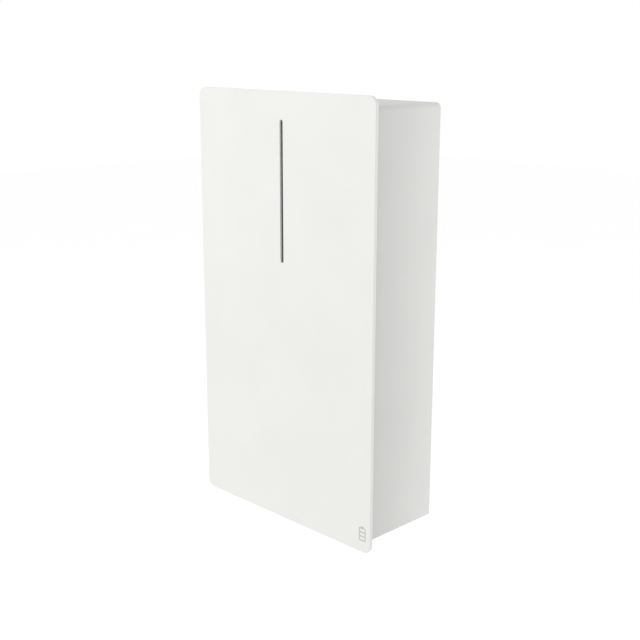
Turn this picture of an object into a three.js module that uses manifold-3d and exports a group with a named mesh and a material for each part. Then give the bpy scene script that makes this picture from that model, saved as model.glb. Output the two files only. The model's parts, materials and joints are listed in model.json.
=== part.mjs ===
// Wall battery unit: a flat push-on cover stands in front of a sheet-metal enclosure that holds
// the cells, their electronics and a wiring bay, and hangs on a folded bracket on the wall.
// Millimetres. X runs right seen from the front, Y runs towards the wall and Z runs up.
// The origin lies on the wall, in the middle of the bracket's centre foot.
import * as THREE from "three";
import { mergeVertices } from "three/addons/utils/BufferGeometryUtils.js";
import Module from "manifold-3d";

// ---------------------------------------------------------------- driving dimensions
const GAP = 0.3; // between pieces that rest on each other
const SHEET = 2; // folded sheet metal

const COVER = { width: 550, height: 980, depth: 8, radius: 20, face: 3, rim: 2.6 };
COVER.front = -206;
COVER.back = COVER.front + COVER.depth;
COVER.inside = COVER.front + COVER.face;

const SLOT = { x: 0.5, width: 9.6, bottom: 118, top: 430, collar: 4, collarBack: -200.7 };
const EMBLEM = { x: 252, z: -448, width: 20, height: 31, bar: 2.4, depth: 1, rows: 3 };
const SEAL = { outside: 1.5, inside: 2.6 };

const BODY = { width: 540, bottom: -459, top: 469.4, front: -197.5, back: -0.3 };
BODY.topRadius = 12;
BODY.bottomRadius = 1.5;
BODY.innerX = BODY.width / 2 - SHEET;
BODY.floor = BODY.bottom + SHEET;

const FLANGE = { front: -194.2, width: 26 };
const REAR_PANEL = { front: -19.7 };
REAR_PANEL.back = REAR_PANEL.front + SHEET;

const PANEL = { halfWidth: 254, bottom: -250, top: 453, radius: 8, front: -196.5 };
PANEL.back = PANEL.front + SHEET;
const SCREW = { x: 248, heights: [-225, 430], shank: 2.3, hole: 2.8, head: 4.6 };
const STUD = { x: 260.5, heights: [-400, 420], base: 5.4, neck: 2.6, ball: 4 };
const BEAD = { width: 12, rise: 1.2, columns: [-190, -105, 105, 190], bottom: -205, top: 405 };

const BRACKET = { bottom: -440, top: 400, sheet: 2.5, rise: 9.5, lipDepth: 16 };
const HOOK = { x: 110, heights: [-170, 250], width: 22, drop: 14, reach: 30 };
const LOCK = { x: 198, y: -9, shank: 3.7 };

const DIVIDER = { z: -253, lip: 18 };
const GEAR = { face: -62, halfWidth: 236, bottom: -440, top: -268 };
const TERMINALS = { x: -105, z: -375, width: 96, height: 52, depth: 40, pitch: 30, lever: 24 };
const DC_SWITCH = { x: 158, z: -372, size: 72, depth: 44 };
const BOARD = { x: 32, z: -358, width: 112, height: 122, thick: 1.6, standoff: 7 };
const BUTTON = { x: 68, z: -402, radius: 3.2, travel: 1 };

const AC_GLAND = { x: -105, y: -118, bore: 10, thread: 15.6, hex: 20.5 };
const COMMS_GLAND = { x: -20, y: -118, bore: 5, thread: 9.7, hex: 13.5 };
const VENT = { x: 62, y: -118, stem: 5.6, cap: 12 };
const EARTH = { x: 158, y: -118, stud: 3.4, nut: 6.6 };

const PACK = { halfWidth: 236, bottom: -246, top: 90, front: -158, back: -26 };
const CELL = { pitch: 37, count: 12, width: 148, front: -142, back: -32, groove: 2.4 };
const CARRIER = { halfWidth: 236, bottom: 104, top: 440, front: -44, back: -38 };
const INVERTER = { width: 140, height: 104, depth: 34, columns: [-152, 0, 152], rows: [170, 286] };
const BMS = { left: -230, right: 70, bottom: 350, top: 432 };

const AC_CABLE = { radius: 6, x: -252, y: -82 };
const DC_CABLE = { radius: 4.2, y: -84, columns: [244.5, 257.5] };
const COMMS_CABLE = { radius: 2.4, x: -252, y: -68 };

// ---------------------------------------------------------------- materials
function material(color, roughness, metalness) {
  return new THREE.MeshStandardMaterial({ color, roughness, metalness });
}
const coverPaint = () => material(0xf1f1ee, 0.55, 0);
const bodyPaint = () => material(0xe6e6e3, 0.6, 0);
const zinc = () => material(0xb4b7ba, 0.42, 0.9);
const steel = () => material(0xa9abad, 0.32, 1);
const aluminium = () => material(0xc4c6c8, 0.38, 1);
const brass = () => material(0xb89a52, 0.35, 1);
const blackPlastic = () => material(0x1d1e20, 0.5, 0);
const greyPlastic = () => material(0x8b8e91, 0.5, 0);
const orangePlastic = () => material(0xd9682a, 0.45, 0);
const foam = () => material(0x2a2b2c, 0.95, 0);
const lensPlastic = () => material(0x46484a, 0.2, 0);
const circuitBoard = () => material(0x14532f, 0.5, 0);
const cellSkin = () => material(0x2b4f86, 0.45, 0);
const redJacket = () => material(0xa8231c, 0.55, 0);
const blackJacket = () => material(0x17181a, 0.6, 0);
const greyJacket = () => material(0x6f7275, 0.6, 0);

// ---------------------------------------------------------------- solids
const wasm = await Module();
wasm.setup();

function solidOf(geometry) {
  const bare = geometry.clone();
  bare.deleteAttribute("normal");
  bare.deleteAttribute("uv");
  const merged = mergeVertices(bare, 1e-4);
  const vertProperties = merged.attributes.position.array;
  const triVerts = new Uint32Array(merged.index.array);
  return new wasm.Manifold(new wasm.Mesh({ numProp: 3, vertProperties, triVerts }));
}

function geometryOf(solid) {
  const { vertProperties, triVerts } = solid.getMesh();
  const geometry = new THREE.BufferGeometry();
  geometry.setAttribute("position", new THREE.BufferAttribute(vertProperties, 3));
  geometry.setIndex(new THREE.BufferAttribute(triVerts, 1));
  geometry.computeVertexNormals();
  return geometry;
}

// Joins the first list of geometries and cuts the second list out of the result.
function build(joined, removed = []) {
  const whole = joined.map(solidOf).reduce((sum, next) => sum.add(next));
  return geometryOf(removed.map(solidOf).reduce((rest, tool) => rest.subtract(tool), whole));
}

// ---------------------------------------------------------------- primitive shapes
function slab(x0, x1, y0, y1, z0, z1) {
  const geometry = new THREE.BoxGeometry(x1 - x0, y1 - y0, z1 - z0);
  return geometry.translate((x0 + x1) / 2, (y0 + y1) / 2, (z0 + z1) / 2);
}

// A rectangle with rounded corners, its top and bottom radii given apart.
function roundedShape(x0, x1, z0, z1, topRadius, bottomRadius = topRadius) {
  const shape = new THREE.Shape();
  shape.moveTo(x0 + bottomRadius, z0);
  shape.lineTo(x1 - bottomRadius, z0);
  shape.absarc(x1 - bottomRadius, z0 + bottomRadius, bottomRadius, -Math.PI / 2, 0);
  shape.lineTo(x1, z1 - topRadius);
  shape.absarc(x1 - topRadius, z1 - topRadius, topRadius, 0, Math.PI / 2);
  shape.lineTo(x0 + topRadius, z1);
  shape.absarc(x0 + topRadius, z1 - topRadius, topRadius, Math.PI / 2, Math.PI);
  shape.lineTo(x0, z0 + bottomRadius);
  shape.absarc(x0 + bottomRadius, z0 + bottomRadius, bottomRadius, Math.PI, Math.PI * 1.5);
  return shape;
}

function polygon(points) {
  return new THREE.Shape(points.map(([u, v]) => new THREE.Vector2(u, v)));
}

// Extrudes a shape drawn in X and Z from the front Y to the back Y.
function alongY(shape, front, back, curveSegments = 2) {
  const options = { depth: back - front, bevelEnabled: false, curveSegments };
  return new THREE.ExtrudeGeometry(shape, options).rotateX(Math.PI / 2).translate(0, back, 0);
}

// Extrudes a shape drawn in X and Y upwards.
function alongZ(shape, bottom, top) {
  const options = { depth: top - bottom, bevelEnabled: false, curveSegments: 2 };
  return new THREE.ExtrudeGeometry(shape, options).translate(0, 0, bottom);
}

// Extrudes a shape drawn in Y and Z to the right.
function alongX(shape, left, right) {
  const options = { depth: right - left, bevelEnabled: false, curveSegments: 4 };
  const turn = new THREE.Matrix4().makeBasis(
    new THREE.Vector3(0, 1, 0),
    new THREE.Vector3(0, 0, 1),
    new THREE.Vector3(1, 0, 0),
  );
  return new THREE.ExtrudeGeometry(shape, options).applyMatrix4(turn).translate(left, 0, 0);
}

function rodY(radius, front, back, x, z, sides = 16) {
  const geometry = new THREE.CylinderGeometry(radius, radius, back - front, sides);
  return geometry.translate(x, (front + back) / 2, z);
}

function rodZ(radius, bottom, top, x, y, sides = 16) {
  const geometry = new THREE.CylinderGeometry(radius, radius, top - bottom, sides);
  return geometry.rotateX(Math.PI / 2).translate(x, y, (bottom + top) / 2);
}

// A turned piece on an axis along Z, from (radius, height) pairs that start and end on the axis.
function turned(profile, sides = 16) {
  const points = profile.map(([radius, height]) => new THREE.Vector2(radius, height));
  return new THREE.LatheGeometry(points, sides).rotateX(Math.PI / 2);
}

function cable(points, radius, steps) {
  const path = new THREE.CatmullRomCurve3(
    points.map(([x, y, z]) => new THREE.Vector3(x, y, z)),
    false,
    "centripetal",
  );
  const section = new THREE.Shape().absarc(0, 0, radius, 0, Math.PI * 2);
  return new THREE.ExtrudeGeometry(section, {
    steps,
    extrudePath: path,
    bevelEnabled: false,
    curveSegments: 4,
  });
}

// ---------------------------------------------------------------- cover
function stadium(x, halfWidth, bottom, top) {
  return roundedShape(x - halfWidth, x + halfWidth, bottom, top, halfWidth);
}

// An upright cell pictogram: a ladder of bars inside a frame, with a cap on top.
function emblemTools(grow, front, back) {
  const { x, z, width, height, bar, rows } = EMBLEM;
  const halfWidth = width / 2 + grow;
  const bottom = z - height / 2;
  const frame = roundedShape(x - halfWidth, x + halfWidth, bottom - grow, bottom + height + grow, 3);
  const cap = slab(x - 4 - grow, x + 4 + grow, front, back, bottom + height - 1, bottom + height + 3 + grow);
  const pane = (height - bar * (rows + 1)) / rows;
  const panes = [];
  for (let row = 0; row < rows; row += 1) {
    const low = bottom + bar + row * (pane + bar) + grow;
    const high = low + pane - 2 * grow;
    const side = width / 2 - bar - grow;
    panes.push(slab(x - side, x + side, front - 1, back + 1, low, high));
  }
  return { joined: [alongY(frame, front, back), cap], panes };
}

function frontCover() {
  const { width, height, radius, rim, front, back, inside } = COVER;
  const side = width / 2;
  const half = height / 2;
  const outline = roundedShape(-side, side, -half, half, radius);
  const pocket = roundedShape(-side + rim, side - rim, -half + rim, half - rim, radius - rim);
  const collar = stadium(
    SLOT.x,
    SLOT.width / 2 + SLOT.collar,
    SLOT.bottom - SLOT.collar,
    SLOT.top + SLOT.collar,
  );
  const opening = stadium(SLOT.x, SLOT.width / 2, SLOT.bottom, SLOT.top);
  const groove = emblemTools(GAP / 2, front - 1, front + EMBLEM.depth);
  const grooveGeometry = build(groove.joined, groove.panes);
  const tray = build([alongY(outline, front, back, 6)], [alongY(pocket, inside, back + 1, 6)]);
  return build(
    [tray, alongY(collar, inside - 0.5, SLOT.collarBack, 4)],
    [alongY(opening, front - 1, SLOT.collarBack + 1, 4), grooveGeometry],
  );
}

function emblem() {
  const { joined, panes } = emblemTools(-GAP / 2, COVER.front, COVER.front + EMBLEM.depth - GAP);
  return build(joined, panes);
}

function coverSeal() {
  const { outside, inside } = SEAL;
  const side = BODY.width / 2;
  const outer = roundedShape(
    -side - outside,
    side + outside,
    BODY.bottom - outside,
    BODY.top + outside,
    BODY.topRadius + outside,
    BODY.bottomRadius + outside,
  );
  const inner = roundedShape(
    -side + inside,
    side - inside,
    BODY.bottom + inside,
    BODY.top - inside,
    BODY.topRadius - inside,
    1,
  );
  const front = COVER.inside + GAP;
  return build([alongY(outer, front, BODY.front - GAP)], [alongY(inner, front - 1, BODY.front + 1)]);
}

// A slotted socket ring on the back of the cover, around a ball stud of the body.
function coverClip() {
  const front = COVER.inside + GAP;
  const back = BODY.front - 1;
  const floor = front + 1.6;
  const socket = rodY(4.5, floor, back + 1, 0, 0);
  const across = slab(-9, 9, floor, back + 1, -0.8, 0.8);
  const upright = slab(-0.8, 0.8, floor, back + 1, -9, 9);
  return build([rodY(6, front, back, 0, 0)], [socket, across, upright]);
}

function ballStud() {
  const base = FLANGE.front - GAP;
  const profile = [
    [0, 0],
    [STUD.base, 0],
    [STUD.base, 1.6],
    [STUD.neck, 2.2],
    [STUD.neck, 3.4],
    [STUD.ball, 4.6],
    [STUD.ball - 0.6, 6],
    [0, 6.6],
  ];
  return turned(profile).rotateX(Math.PI / 2).translate(0, base, 0);
}

// ---------------------------------------------------------------- status light
function lightLens() {
  const front = SLOT.collarBack + GAP;
  const face = stadium(SLOT.x, 10, SLOT.bottom - 8, SLOT.top + 8);
  const tongue = stadium(SLOT.x, 3.6, SLOT.bottom + 8, SLOT.top - 8);
  return build([alongY(face, front, PANEL.front - GAP), alongY(tongue, PANEL.front - 2, PANEL.back + 3)]);
}

function ledBoard() {
  const front = PANEL.back + 3 + 1.5;
  const plate = slab(SLOT.x - 9, SLOT.x + 9, front, front + 1.6, SLOT.bottom, SLOT.top);
  const lamps = [];
  const count = 12;
  const step = (SLOT.top - SLOT.bottom - 40) / (count - 1);
  for (let index = 0; index < count; index += 1) {
    const z = SLOT.bottom + 20 + index * step;
    lamps.push(slab(SLOT.x - 2, SLOT.x + 2, front - 1.1, front + 0.5, z - 2, z + 2));
  }
  return build([plate, ...lamps]);
}

// ---------------------------------------------------------------- enclosure
function bodyShape(inset) {
  const side = BODY.width / 2 - inset;
  return roundedShape(
    -side,
    side,
    BODY.bottom + inset,
    BODY.top - inset,
    BODY.topRadius - Math.min(inset, 10),
    Math.max(BODY.bottomRadius - inset, 0.5),
  );
}

// The top, the sides and the front flange in one folded sheet, open where the floor plate lies.
function enclosureShell() {
  const hollow = alongY(bodyShape(SHEET), BODY.front - 1, BODY.back + 1, 5);
  const wall = build([alongY(bodyShape(0), BODY.front, BODY.back, 5)], [hollow]);
  const flange = build(
    [alongY(bodyShape(SHEET / 2), FLANGE.front, FLANGE.front + SHEET)],
    [alongY(bodyShape(SHEET + FLANGE.width), FLANGE.front - 1, FLANGE.front + SHEET + 1)],
  );
  const side = BODY.innerX;
  const holes = [
    slab(-side, side, FLANGE.front + SHEET, BODY.back + 1, BODY.bottom - 1, BODY.floor + 1),
  ];
  for (const side of [-1, 1]) {
    for (const z of SCREW.heights) {
      holes.push(rodY(SCREW.hole, FLANGE.front - 1, FLANGE.front + 3, side * SCREW.x, z, 12));
    }
  }
  return build([wall, flange], holes);
}

// A flat plate between the sides, with the holes for the pieces that pass through it.
function enclosureFloor() {
  const side = BODY.innerX - GAP;
  const front = FLANGE.front + SHEET + GAP;
  const hole = (radius, x, y) => rodZ(radius, BODY.bottom - 1, BODY.floor + 1, x, y, 20);
  return build(
    [slab(-side, side, front, BODY.back, BODY.bottom, BODY.floor)],
    [
      hole(AC_GLAND.thread + GAP, AC_GLAND.x, AC_GLAND.y),
      hole(COMMS_GLAND.thread + GAP, COMMS_GLAND.x, COMMS_GLAND.y),
      hole(VENT.stem + GAP, VENT.x, VENT.y),
      hole(EARTH.stud + GAP, EARTH.x, EARTH.y),
      hole(LOCK.shank + GAP, -LOCK.x, LOCK.y),
      hole(LOCK.shank + GAP, LOCK.x, LOCK.y),
    ],
  );
}

function frontPanel() {
  const { halfWidth, bottom, top, radius, front, back } = PANEL;
  const outline = roundedShape(-halfWidth, halfWidth, bottom, top, radius, 2);
  const beads = BEAD.columns.map((x) => {
    const shape = stadium(x, BEAD.width / 2, BEAD.bottom, BEAD.top);
    return alongY(shape, front - BEAD.rise, front + 0.5);
  });
  const lightSlot = stadium(SLOT.x, 4.2, SLOT.bottom + 7, SLOT.top - 7);
  const holes = [alongY(lightSlot, front - 1, back + 1)];
  for (const side of [-1, 1]) {
    for (const z of SCREW.heights) {
      holes.push(rodY(SCREW.hole, front - 1, back + 1, side * SCREW.x, z, 12));
    }
  }
  return build([alongY(outline, front, back), ...beads], holes);
}

// A button-head screw with a hexagon socket, its head in front of the panel.
function panelScrew() {
  const under = PANEL.front - GAP;
  const profile = [
    [0, -9],
    [SCREW.shank, -9],
    [SCREW.shank, 0],
    [SCREW.head, 0],
    [SCREW.head - 0.4, 1.4],
    [SCREW.head - 1.8, 2.5],
    [0, 2.6],
  ];
  const socket = rodY(1.7, under - 4, under - 1.2, 0, 0, 6);
  return build([turned(profile, 12).rotateX(Math.PI / 2).translate(0, under, 0)], [socket]);
}

function rearPanel() {
  const { front, back } = REAR_PANEL;
  const outline = bodyShape(SHEET + 0.4);
  const beads = [-330, -60, 120, 360].map((z) => {
    const shape = roundedShape(-215, 215, z - 7, z + 7, 6.9);
    return alongY(shape, back - 0.5, back + 1.4);
  });
  return build([alongY(outline, front, back), ...beads]);
}

// The sheet is folded into three feet on the wall with two raised channels between them.
function wallBracket() {
  const { bottom, top, sheet, rise, lipDepth } = BRACKET;
  const backLine = [[-215, 0], [-180, 0], [-172, -rise], [-48, -rise], [-40, 0]];
  const frontLine = [
    [-215, -sheet],
    [-181.3, -sheet],
    [-173.3, -rise - sheet],
    [-46.7, -rise - sheet],
    [-38.7, -sheet],
  ];
  const mirrored = (line) => line.map(([x, y]) => [-x, y]).reverse();
  const back = [...backLine, ...mirrored(backLine)];
  const front = [...frontLine, ...mirrored(frontLine)];
  const folded = alongZ(polygon([...back.reverse(), ...front]), bottom, top);
  const lips = [-1, 1].map((side) => {
    const inner = side * 183;
    const outer = side * 213;
    return slab(Math.min(inner, outer), Math.max(inner, outer), -lipDepth, -1, bottom, bottom + sheet);
  });
  const cuts = [];
  for (const side of [-1, 1]) {
    const centre = side * HOOK.x;
    for (const z of HOOK.heights) {
      cuts.push(slab(centre - 14, centre + 14, -rise - 5, -rise + 3, z - GAP, z + HOOK.reach + 2));
    }
    for (const z of [-340, -60, 100, 345]) {
      const windowShape = roundedShape(centre - 40, centre + 40, z - 42, z + 42, 12);
      cuts.push(alongY(windowShape, -rise - 5, -rise + 3));
    }
    for (const z of [-360, -120, 120, 350]) {
      cuts.push(alongY(stadium(side * 198, 4.5, z - 11, z + 11), -sheet - 1, 1));
    }
    cuts.push(rodZ(LOCK.shank + GAP, bottom - 1, bottom + sheet + 1, side * LOCK.x, LOCK.y));
  }
  for (const z of [-380, -200, 200, 350]) {
    cuts.push(alongY(stadium(0, 4.5, z - 11, z + 11), -sheet - 1, 1));
  }
  return build([folded, ...lips], cuts);
}

// A hook welded to the rear panel, its neck through the bracket and its lip hanging behind it.
function hangHook() {
  const base = REAR_PANEL.back + GAP;
  const plateBack = -BRACKET.rise + GAP;
  const lip = plateBack + 2.5;
  const profile = polygon([
    [base, -28],
    [base + 2.4, -28],
    [base + 2.4, 0],
    [plateBack, 0],
    [plateBack, -HOOK.drop],
    [lip, -HOOK.drop],
    [lip, 10],
    [base + 2.4, 14],
    [base + 2.4, 34],
    [base, 34],
  ]);
  return build([alongX(profile, -HOOK.width / 2, HOOK.width / 2)]);
}

// A hexagon bolt from below the floor, with its nut on the bracket's lip.
function lockBolt() {
  const seat = BODY.bottom - GAP;
  const nut = BRACKET.bottom + BRACKET.sheet + GAP;
  return build([
    rodZ(6.6, seat - 4.4, seat, 0, 0, 6),
    rodZ(LOCK.shank, seat - 2, nut + 9, 0, 0, 12),
    rodZ(6.4, nut, nut + 5, 0, 0, 6),
  ]);
}

// ---------------------------------------------------------------- pieces in the floor
function cableGland({ bore, thread, hex }) {
  const seat = BODY.bottom - GAP;
  const nut = BODY.floor + GAP;
  const dome = [
    [0, seat - 27],
    [bore + 2, seat - 27],
    [thread + 0.5, seat - 24],
    [hex - 2.2, seat - 17],
    [hex - 2.2, seat - 9],
    [0, seat - 9],
  ];
  const body = [
    turned(dome),
    rodZ(hex, seat - 19, seat - 10, 0, 0, 6),
    rodZ(hex, seat - 8, seat - 1.5, 0, 0, 6),
    rodZ(hex - 2.6, seat - 12, seat, 0, 0),
    rodZ(thread, seat - 2, nut + 8, 0, 0),
    rodZ(hex, nut, nut + 5, 0, 0, 6),
  ];
  return build(body, [rodZ(bore, seat - 30, nut + 10, 0, 0)]);
}

function breatherVent() {
  const seat = BODY.bottom - GAP;
  const nut = BODY.floor + GAP;
  const ribs = [];
  for (let index = 0; index < 8; index += 1) {
    const groove = slab(VENT.cap - 2.4, VENT.cap + 1, -1, 1, seat - 7, seat - 2);
    ribs.push(groove.rotateZ((index * Math.PI) / 4));
  }
  const body = [
    rodZ(VENT.cap, seat - 7.5, seat, 0, 0, 24),
    rodZ(VENT.stem, seat - 1, nut + 6, 0, 0),
    rodZ(VENT.stem + 3.4, nut, nut + 3.6, 0, 0, 6),
  ];
  return build(body, ribs);
}

function earthStud() {
  const seat = BODY.bottom - GAP;
  const nut = BODY.floor + GAP;
  return build([
    rodZ(EARTH.stud, seat - 18, nut + 7, 0, 0, 12),
    rodZ(EARTH.nut + 1.6, seat - 1.4, seat, 0, 0),
    rodZ(EARTH.nut, seat - 7, seat - 1.2, 0, 0, 6),
    rodZ(EARTH.nut, nut, nut + 4, 0, 0, 6),
  ]);
}

// ---------------------------------------------------------------- wiring bay
function bayDivider() {
  const { z, lip } = DIVIDER;
  const edge = FLANGE.front + SHEET + GAP;
  const lipSide = BODY.innerX - FLANGE.width - 0.5;
  const rear = REAR_PANEL.front - GAP;
  const side = BODY.innerX - GAP;
  const holes = [
    rodZ(AC_CABLE.radius + 1.5, z - 1, z + SHEET + 1, AC_CABLE.x, AC_CABLE.y),
    rodZ(COMMS_CABLE.radius + 1.5, z - 1, z + SHEET + 1, COMMS_CABLE.x, COMMS_CABLE.y, 12),
    ...DC_CABLE.columns.map((x) => rodZ(DC_CABLE.radius + 1.2, z - 1, z + SHEET + 1, x, DC_CABLE.y, 12)),
  ];
  return build(
    [
      slab(-side, side, edge, rear, z, z + SHEET),
      slab(-lipSide, lipSide, FLANGE.front, edge + 1, z, z + SHEET),
      slab(-lipSide, lipSide, FLANGE.front, FLANGE.front + SHEET, z, z + lip),
    ],
    holes,
  );
}

// A channel across the bay: its web carries the gear and its side legs reach the rear panel.
function gearPlate() {
  const { face, halfWidth, bottom, top } = GEAR;
  const rear = REAR_PANEL.front - GAP;
  const web = roundedShape(-halfWidth, halfWidth, bottom, top, 3);
  const holes = [-215, 215].map((x) => rodY(3, face - 1, face + SHEET + 1, x, top - 12, 12));
  const legs = [-1, 1].map((side) => {
    const edge = side * (halfWidth - SHEET);
    return slab(
      Math.min(edge, side * halfWidth),
      Math.max(edge, side * halfWidth),
      face + 0.5,
      rear,
      bottom + 2,
      top - 2,
    );
  });
  return build([alongY(web, face, face + SHEET), ...legs], holes);
}

// Three clamping poles side by side, each with a wire funnel below and a lever seat in front.
function terminalBlock() {
  const { x, z, width, height, depth, pitch } = TERMINALS;
  const back = GEAR.face - GAP;
  const front = back - depth;
  const low = z - height / 2;
  const high = z + height / 2;
  const shell = roundedShape(x - width / 2, x + width / 2, low, high, 3);
  const cuts = [];
  for (let pole = -1; pole <= 1; pole += 1) {
    const centre = x + pole * pitch;
    cuts.push(slab(centre - 11, centre + 11, front - 1, front + 5, low + 9, high - 5));
    cuts.push(rodZ(7, low - 1, low + 12, centre, (front + back) / 2 + 3));
    cuts.push(rodZ(4, high - 10, high + 1, centre, (front + back) / 2 + 3, 12));
    cuts.push(slab(centre - 4, centre + 4, front - 1, front + 2, low + 2, low + 6));
  }
  return build([alongY(shell, front, back)], cuts);
}

// The lever's barrel lies on its hinge line and its arm hangs down in front of the block.
function terminalLever() {
  const arm = TERMINALS.lever;
  const profile = new THREE.Shape();
  profile.moveTo(2.6, 0);
  profile.absarc(0, 0, 2.6, 0, Math.PI);
  profile.lineTo(-2.6, -arm + 1);
  profile.lineTo(-5.2, -arm - 6);
  profile.lineTo(-2.8, -arm - 6.8);
  profile.lineTo(0.4, -arm);
  profile.lineTo(2.6, -6);
  return build([alongX(profile, -9.4, 9.4)], [slab(-5, 5, -4, -1.6, -arm + 3, -5)]);
}

function dcSwitchBody() {
  const { x, z, size, depth } = DC_SWITCH;
  const back = GEAR.face - GAP;
  const front = back - depth;
  const half = size / 2;
  const plate = roundedShape(x - half, x + half, z - half, z + half, 6);
  const core = roundedShape(x - half + 5, x + half - 5, z - half + 5, z + half - 5, 3);
  const posts = [];
  for (const side of [-1, 1]) {
    for (const end of [-1, 1]) {
      posts.push(rodY(3, front - 1.4, front + 1, x + side * (half - 8), z + end * (half - 8), 10));
    }
  }
  const funnels = [-13, 13].map((shift) => rodZ(6.4, z + half - 12, z + half + 1, x + shift, DC_CABLE.y));
  return build(
    [alongY(core, front + 2, back), alongY(plate, front, front + 4), ...posts],
    [...funnels, rodY(5.4, front - 1, front + 8, x, z)],
  );
}

// A round skirt with a raised grip; its grip points up and down at rest.
function dcSwitchKnob() {
  const front = -DC_SWITCH.depth + GEAR.face - GAP;
  const grip = roundedShape(-6.5, 6.5, -23, 23, 6);
  const notch = slab(-1, 1, front - 20.5, front - 18, 13, 22);
  return build(
    [
      rodY(24, front - 6.6, front - 1.8, 0, 0, 24),
      rodY(19, front - 9, front - 6, 0, 0, 24),
      alongY(grip, front - 20, front - 4),
      rodY(5, front - 3, front + 6, 0, 0),
    ],
    [notch],
  );
}

// The circuit board on four standoffs, with its sockets, relays and radio module.
function controlBoard() {
  const { x, z, width, height, thick, standoff } = BOARD;
  const back = GEAR.face - GAP - standoff;
  const front = back - thick;
  const left = x - width / 2;
  const bottom = z - height / 2;
  const joined = [slab(left, left + width, front, back, bottom, bottom + height)];
  for (const side of [5, width - 5]) {
    for (const end of [5, height - 5]) {
      joined.push(rodY(3, back - 0.5, GEAR.face - GAP, left + side, bottom + end, 8));
    }
  }
  const parts = [
    [12, 34, 14, 8, 18],
    [42, 56, 12, 8, 18],
    [12, 28, 9, 36, 66],
    [34, 50, 9, 36, 66],
    [60, 92, 3, 48, 84],
    [12, 52, 11, 94, 112],
    [62, 98, 6, 96, 112],
  ];
  for (const [near, far, tall, low, high] of parts) {
    joined.push(slab(left + near, left + far, front - tall, front + 0.5, bottom + low, bottom + high));
  }
  const seat = rodY(5.4, front - 5, front + 0.5, BUTTON.x, BUTTON.z);
  const bore = rodY(BUTTON.radius + 0.4, front - 6, front - 1, BUTTON.x, BUTTON.z);
  return build([...joined, seat], [bore]);
}

function pairingButton() {
  const front = GEAR.face - GAP - BOARD.standoff - BOARD.thick;
  return build([rodY(BUTTON.radius, front - 7.5, front - 1 - GAP - BUTTON.travel, 0, 0)]);
}

// ---------------------------------------------------------------- cells
function packTray() {
  const { halfWidth, bottom, top, front, back } = PACK;
  const outside = slab(-halfWidth, halfWidth, front, back, bottom, top);
  const inside = slab(
    -halfWidth + SHEET,
    halfWidth - SHEET,
    front - 1,
    back - SHEET,
    bottom + SHEET,
    top - SHEET,
  );
  return build([outside], [inside]);
}

function packCover() {
  const { halfWidth, bottom, top, front } = PACK;
  const edge = front - GAP;
  const window = slab(-60, 60, edge - SHEET - 1, edge + 1, top - 60, top - 20);
  return build([slab(-halfWidth, halfWidth, edge - SHEET, edge, bottom, top)], [window]);
}

// Twelve cells bound into one block, with grooves between them and a busbar over each pair.
function cellStack(centreZ) {
  const { pitch, count, width, front, back, groove } = CELL;
  const low = centreZ - width / 2;
  const high = centreZ + width / 2;
  const half = (count * pitch) / 2;
  const grooves = [];
  const links = [];
  for (let index = 1; index < count; index += 1) {
    const x = -half + index * pitch;
    const upper = index % 2 === 1;
    const linkZ = centreZ + (upper ? 45 : -45);
    grooves.push(slab(x - groove / 2, x + groove / 2, front - 1, front + 4, low - 1, high + 1));
    links.push(slab(x - 25, x + 25, front - 3, front + 0.5, linkZ - 9, linkZ + 9));
  }
  const block = build([slab(-half, half, front, back, low, high)], grooves);
  return build([block, ...links]);
}

// ---------------------------------------------------------------- power electronics
function inverterCarrier() {
  const { halfWidth, bottom, top, front, back } = CARRIER;
  const fins = [];
  for (let x = -220; x <= 220; x += 40) {
    fins.push(slab(x - 1.5, x + 1.5, back - 0.5, back + 12, bottom + 10, top - 10));
  }
  return build([slab(-halfWidth, halfWidth, front, back, bottom, top), ...fins]);
}

// A potted inverter module with a foot at each end and a connector at the bottom.
function inverterModule() {
  const { width, height, depth } = INVERTER;
  const back = CARRIER.front - GAP;
  const front = back - depth;
  const lid = roundedShape(-width / 2 + 6, width / 2 - 6, -height / 2, height / 2, 5);
  const foot = roundedShape(-width / 2, width / 2, -18, 18, 5);
  const plug = slab(-14, 14, front + 6, back - 6, -58, -50);
  return build([alongY(lid, front, back), alongY(foot, back - 3, back), plug]);
}

function managementBoard() {
  const { left, right, bottom, top } = BMS;
  const back = CARRIER.front - GAP - 8;
  const front = back - 1.6;
  const joined = [slab(left, right, front, back, bottom, top)];
  for (const x of [left + 6, right - 6]) {
    for (const z of [bottom + 6, top - 6]) {
      joined.push(rodY(3, back - 0.5, CARRIER.front - GAP, x, z, 8));
    }
  }
  for (let index = 0; index < 6; index += 1) {
    const x = left + 26 + index * 44;
    joined.push(slab(x, x + 26, front - 7, front + 0.5, bottom + 14, bottom + 30));
    joined.push(slab(x, x + 12, front - 3, front + 0.5, bottom + 44, bottom + 60));
  }
  return build(joined);
}

function mainFuse() {
  const back = CARRIER.front - GAP;
  return build([
    slab(90, 166, back - 6, back, 352, 380),
    slab(94, 100, back - 26, back - 5, 356, 376),
    slab(156, 162, back - 26, back - 5, 356, 376),
    new THREE.CylinderGeometry(9, 9, 62, 16).rotateZ(Math.PI / 2).translate(128, back - 17, 366),
  ]);
}

function dcContactor() {
  const back = CARRIER.front - GAP;
  const can = rodY(22, back - 58, back - 3, 206, 394, 20);
  const foot = slab(182, 230, back - 4, back, 372, 416);
  const posts = [-9, 9].map((shift) => rodY(4, back - 68, back - 57, 206 + shift, 394, 8));
  return build([can, foot, ...posts]);
}

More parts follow.
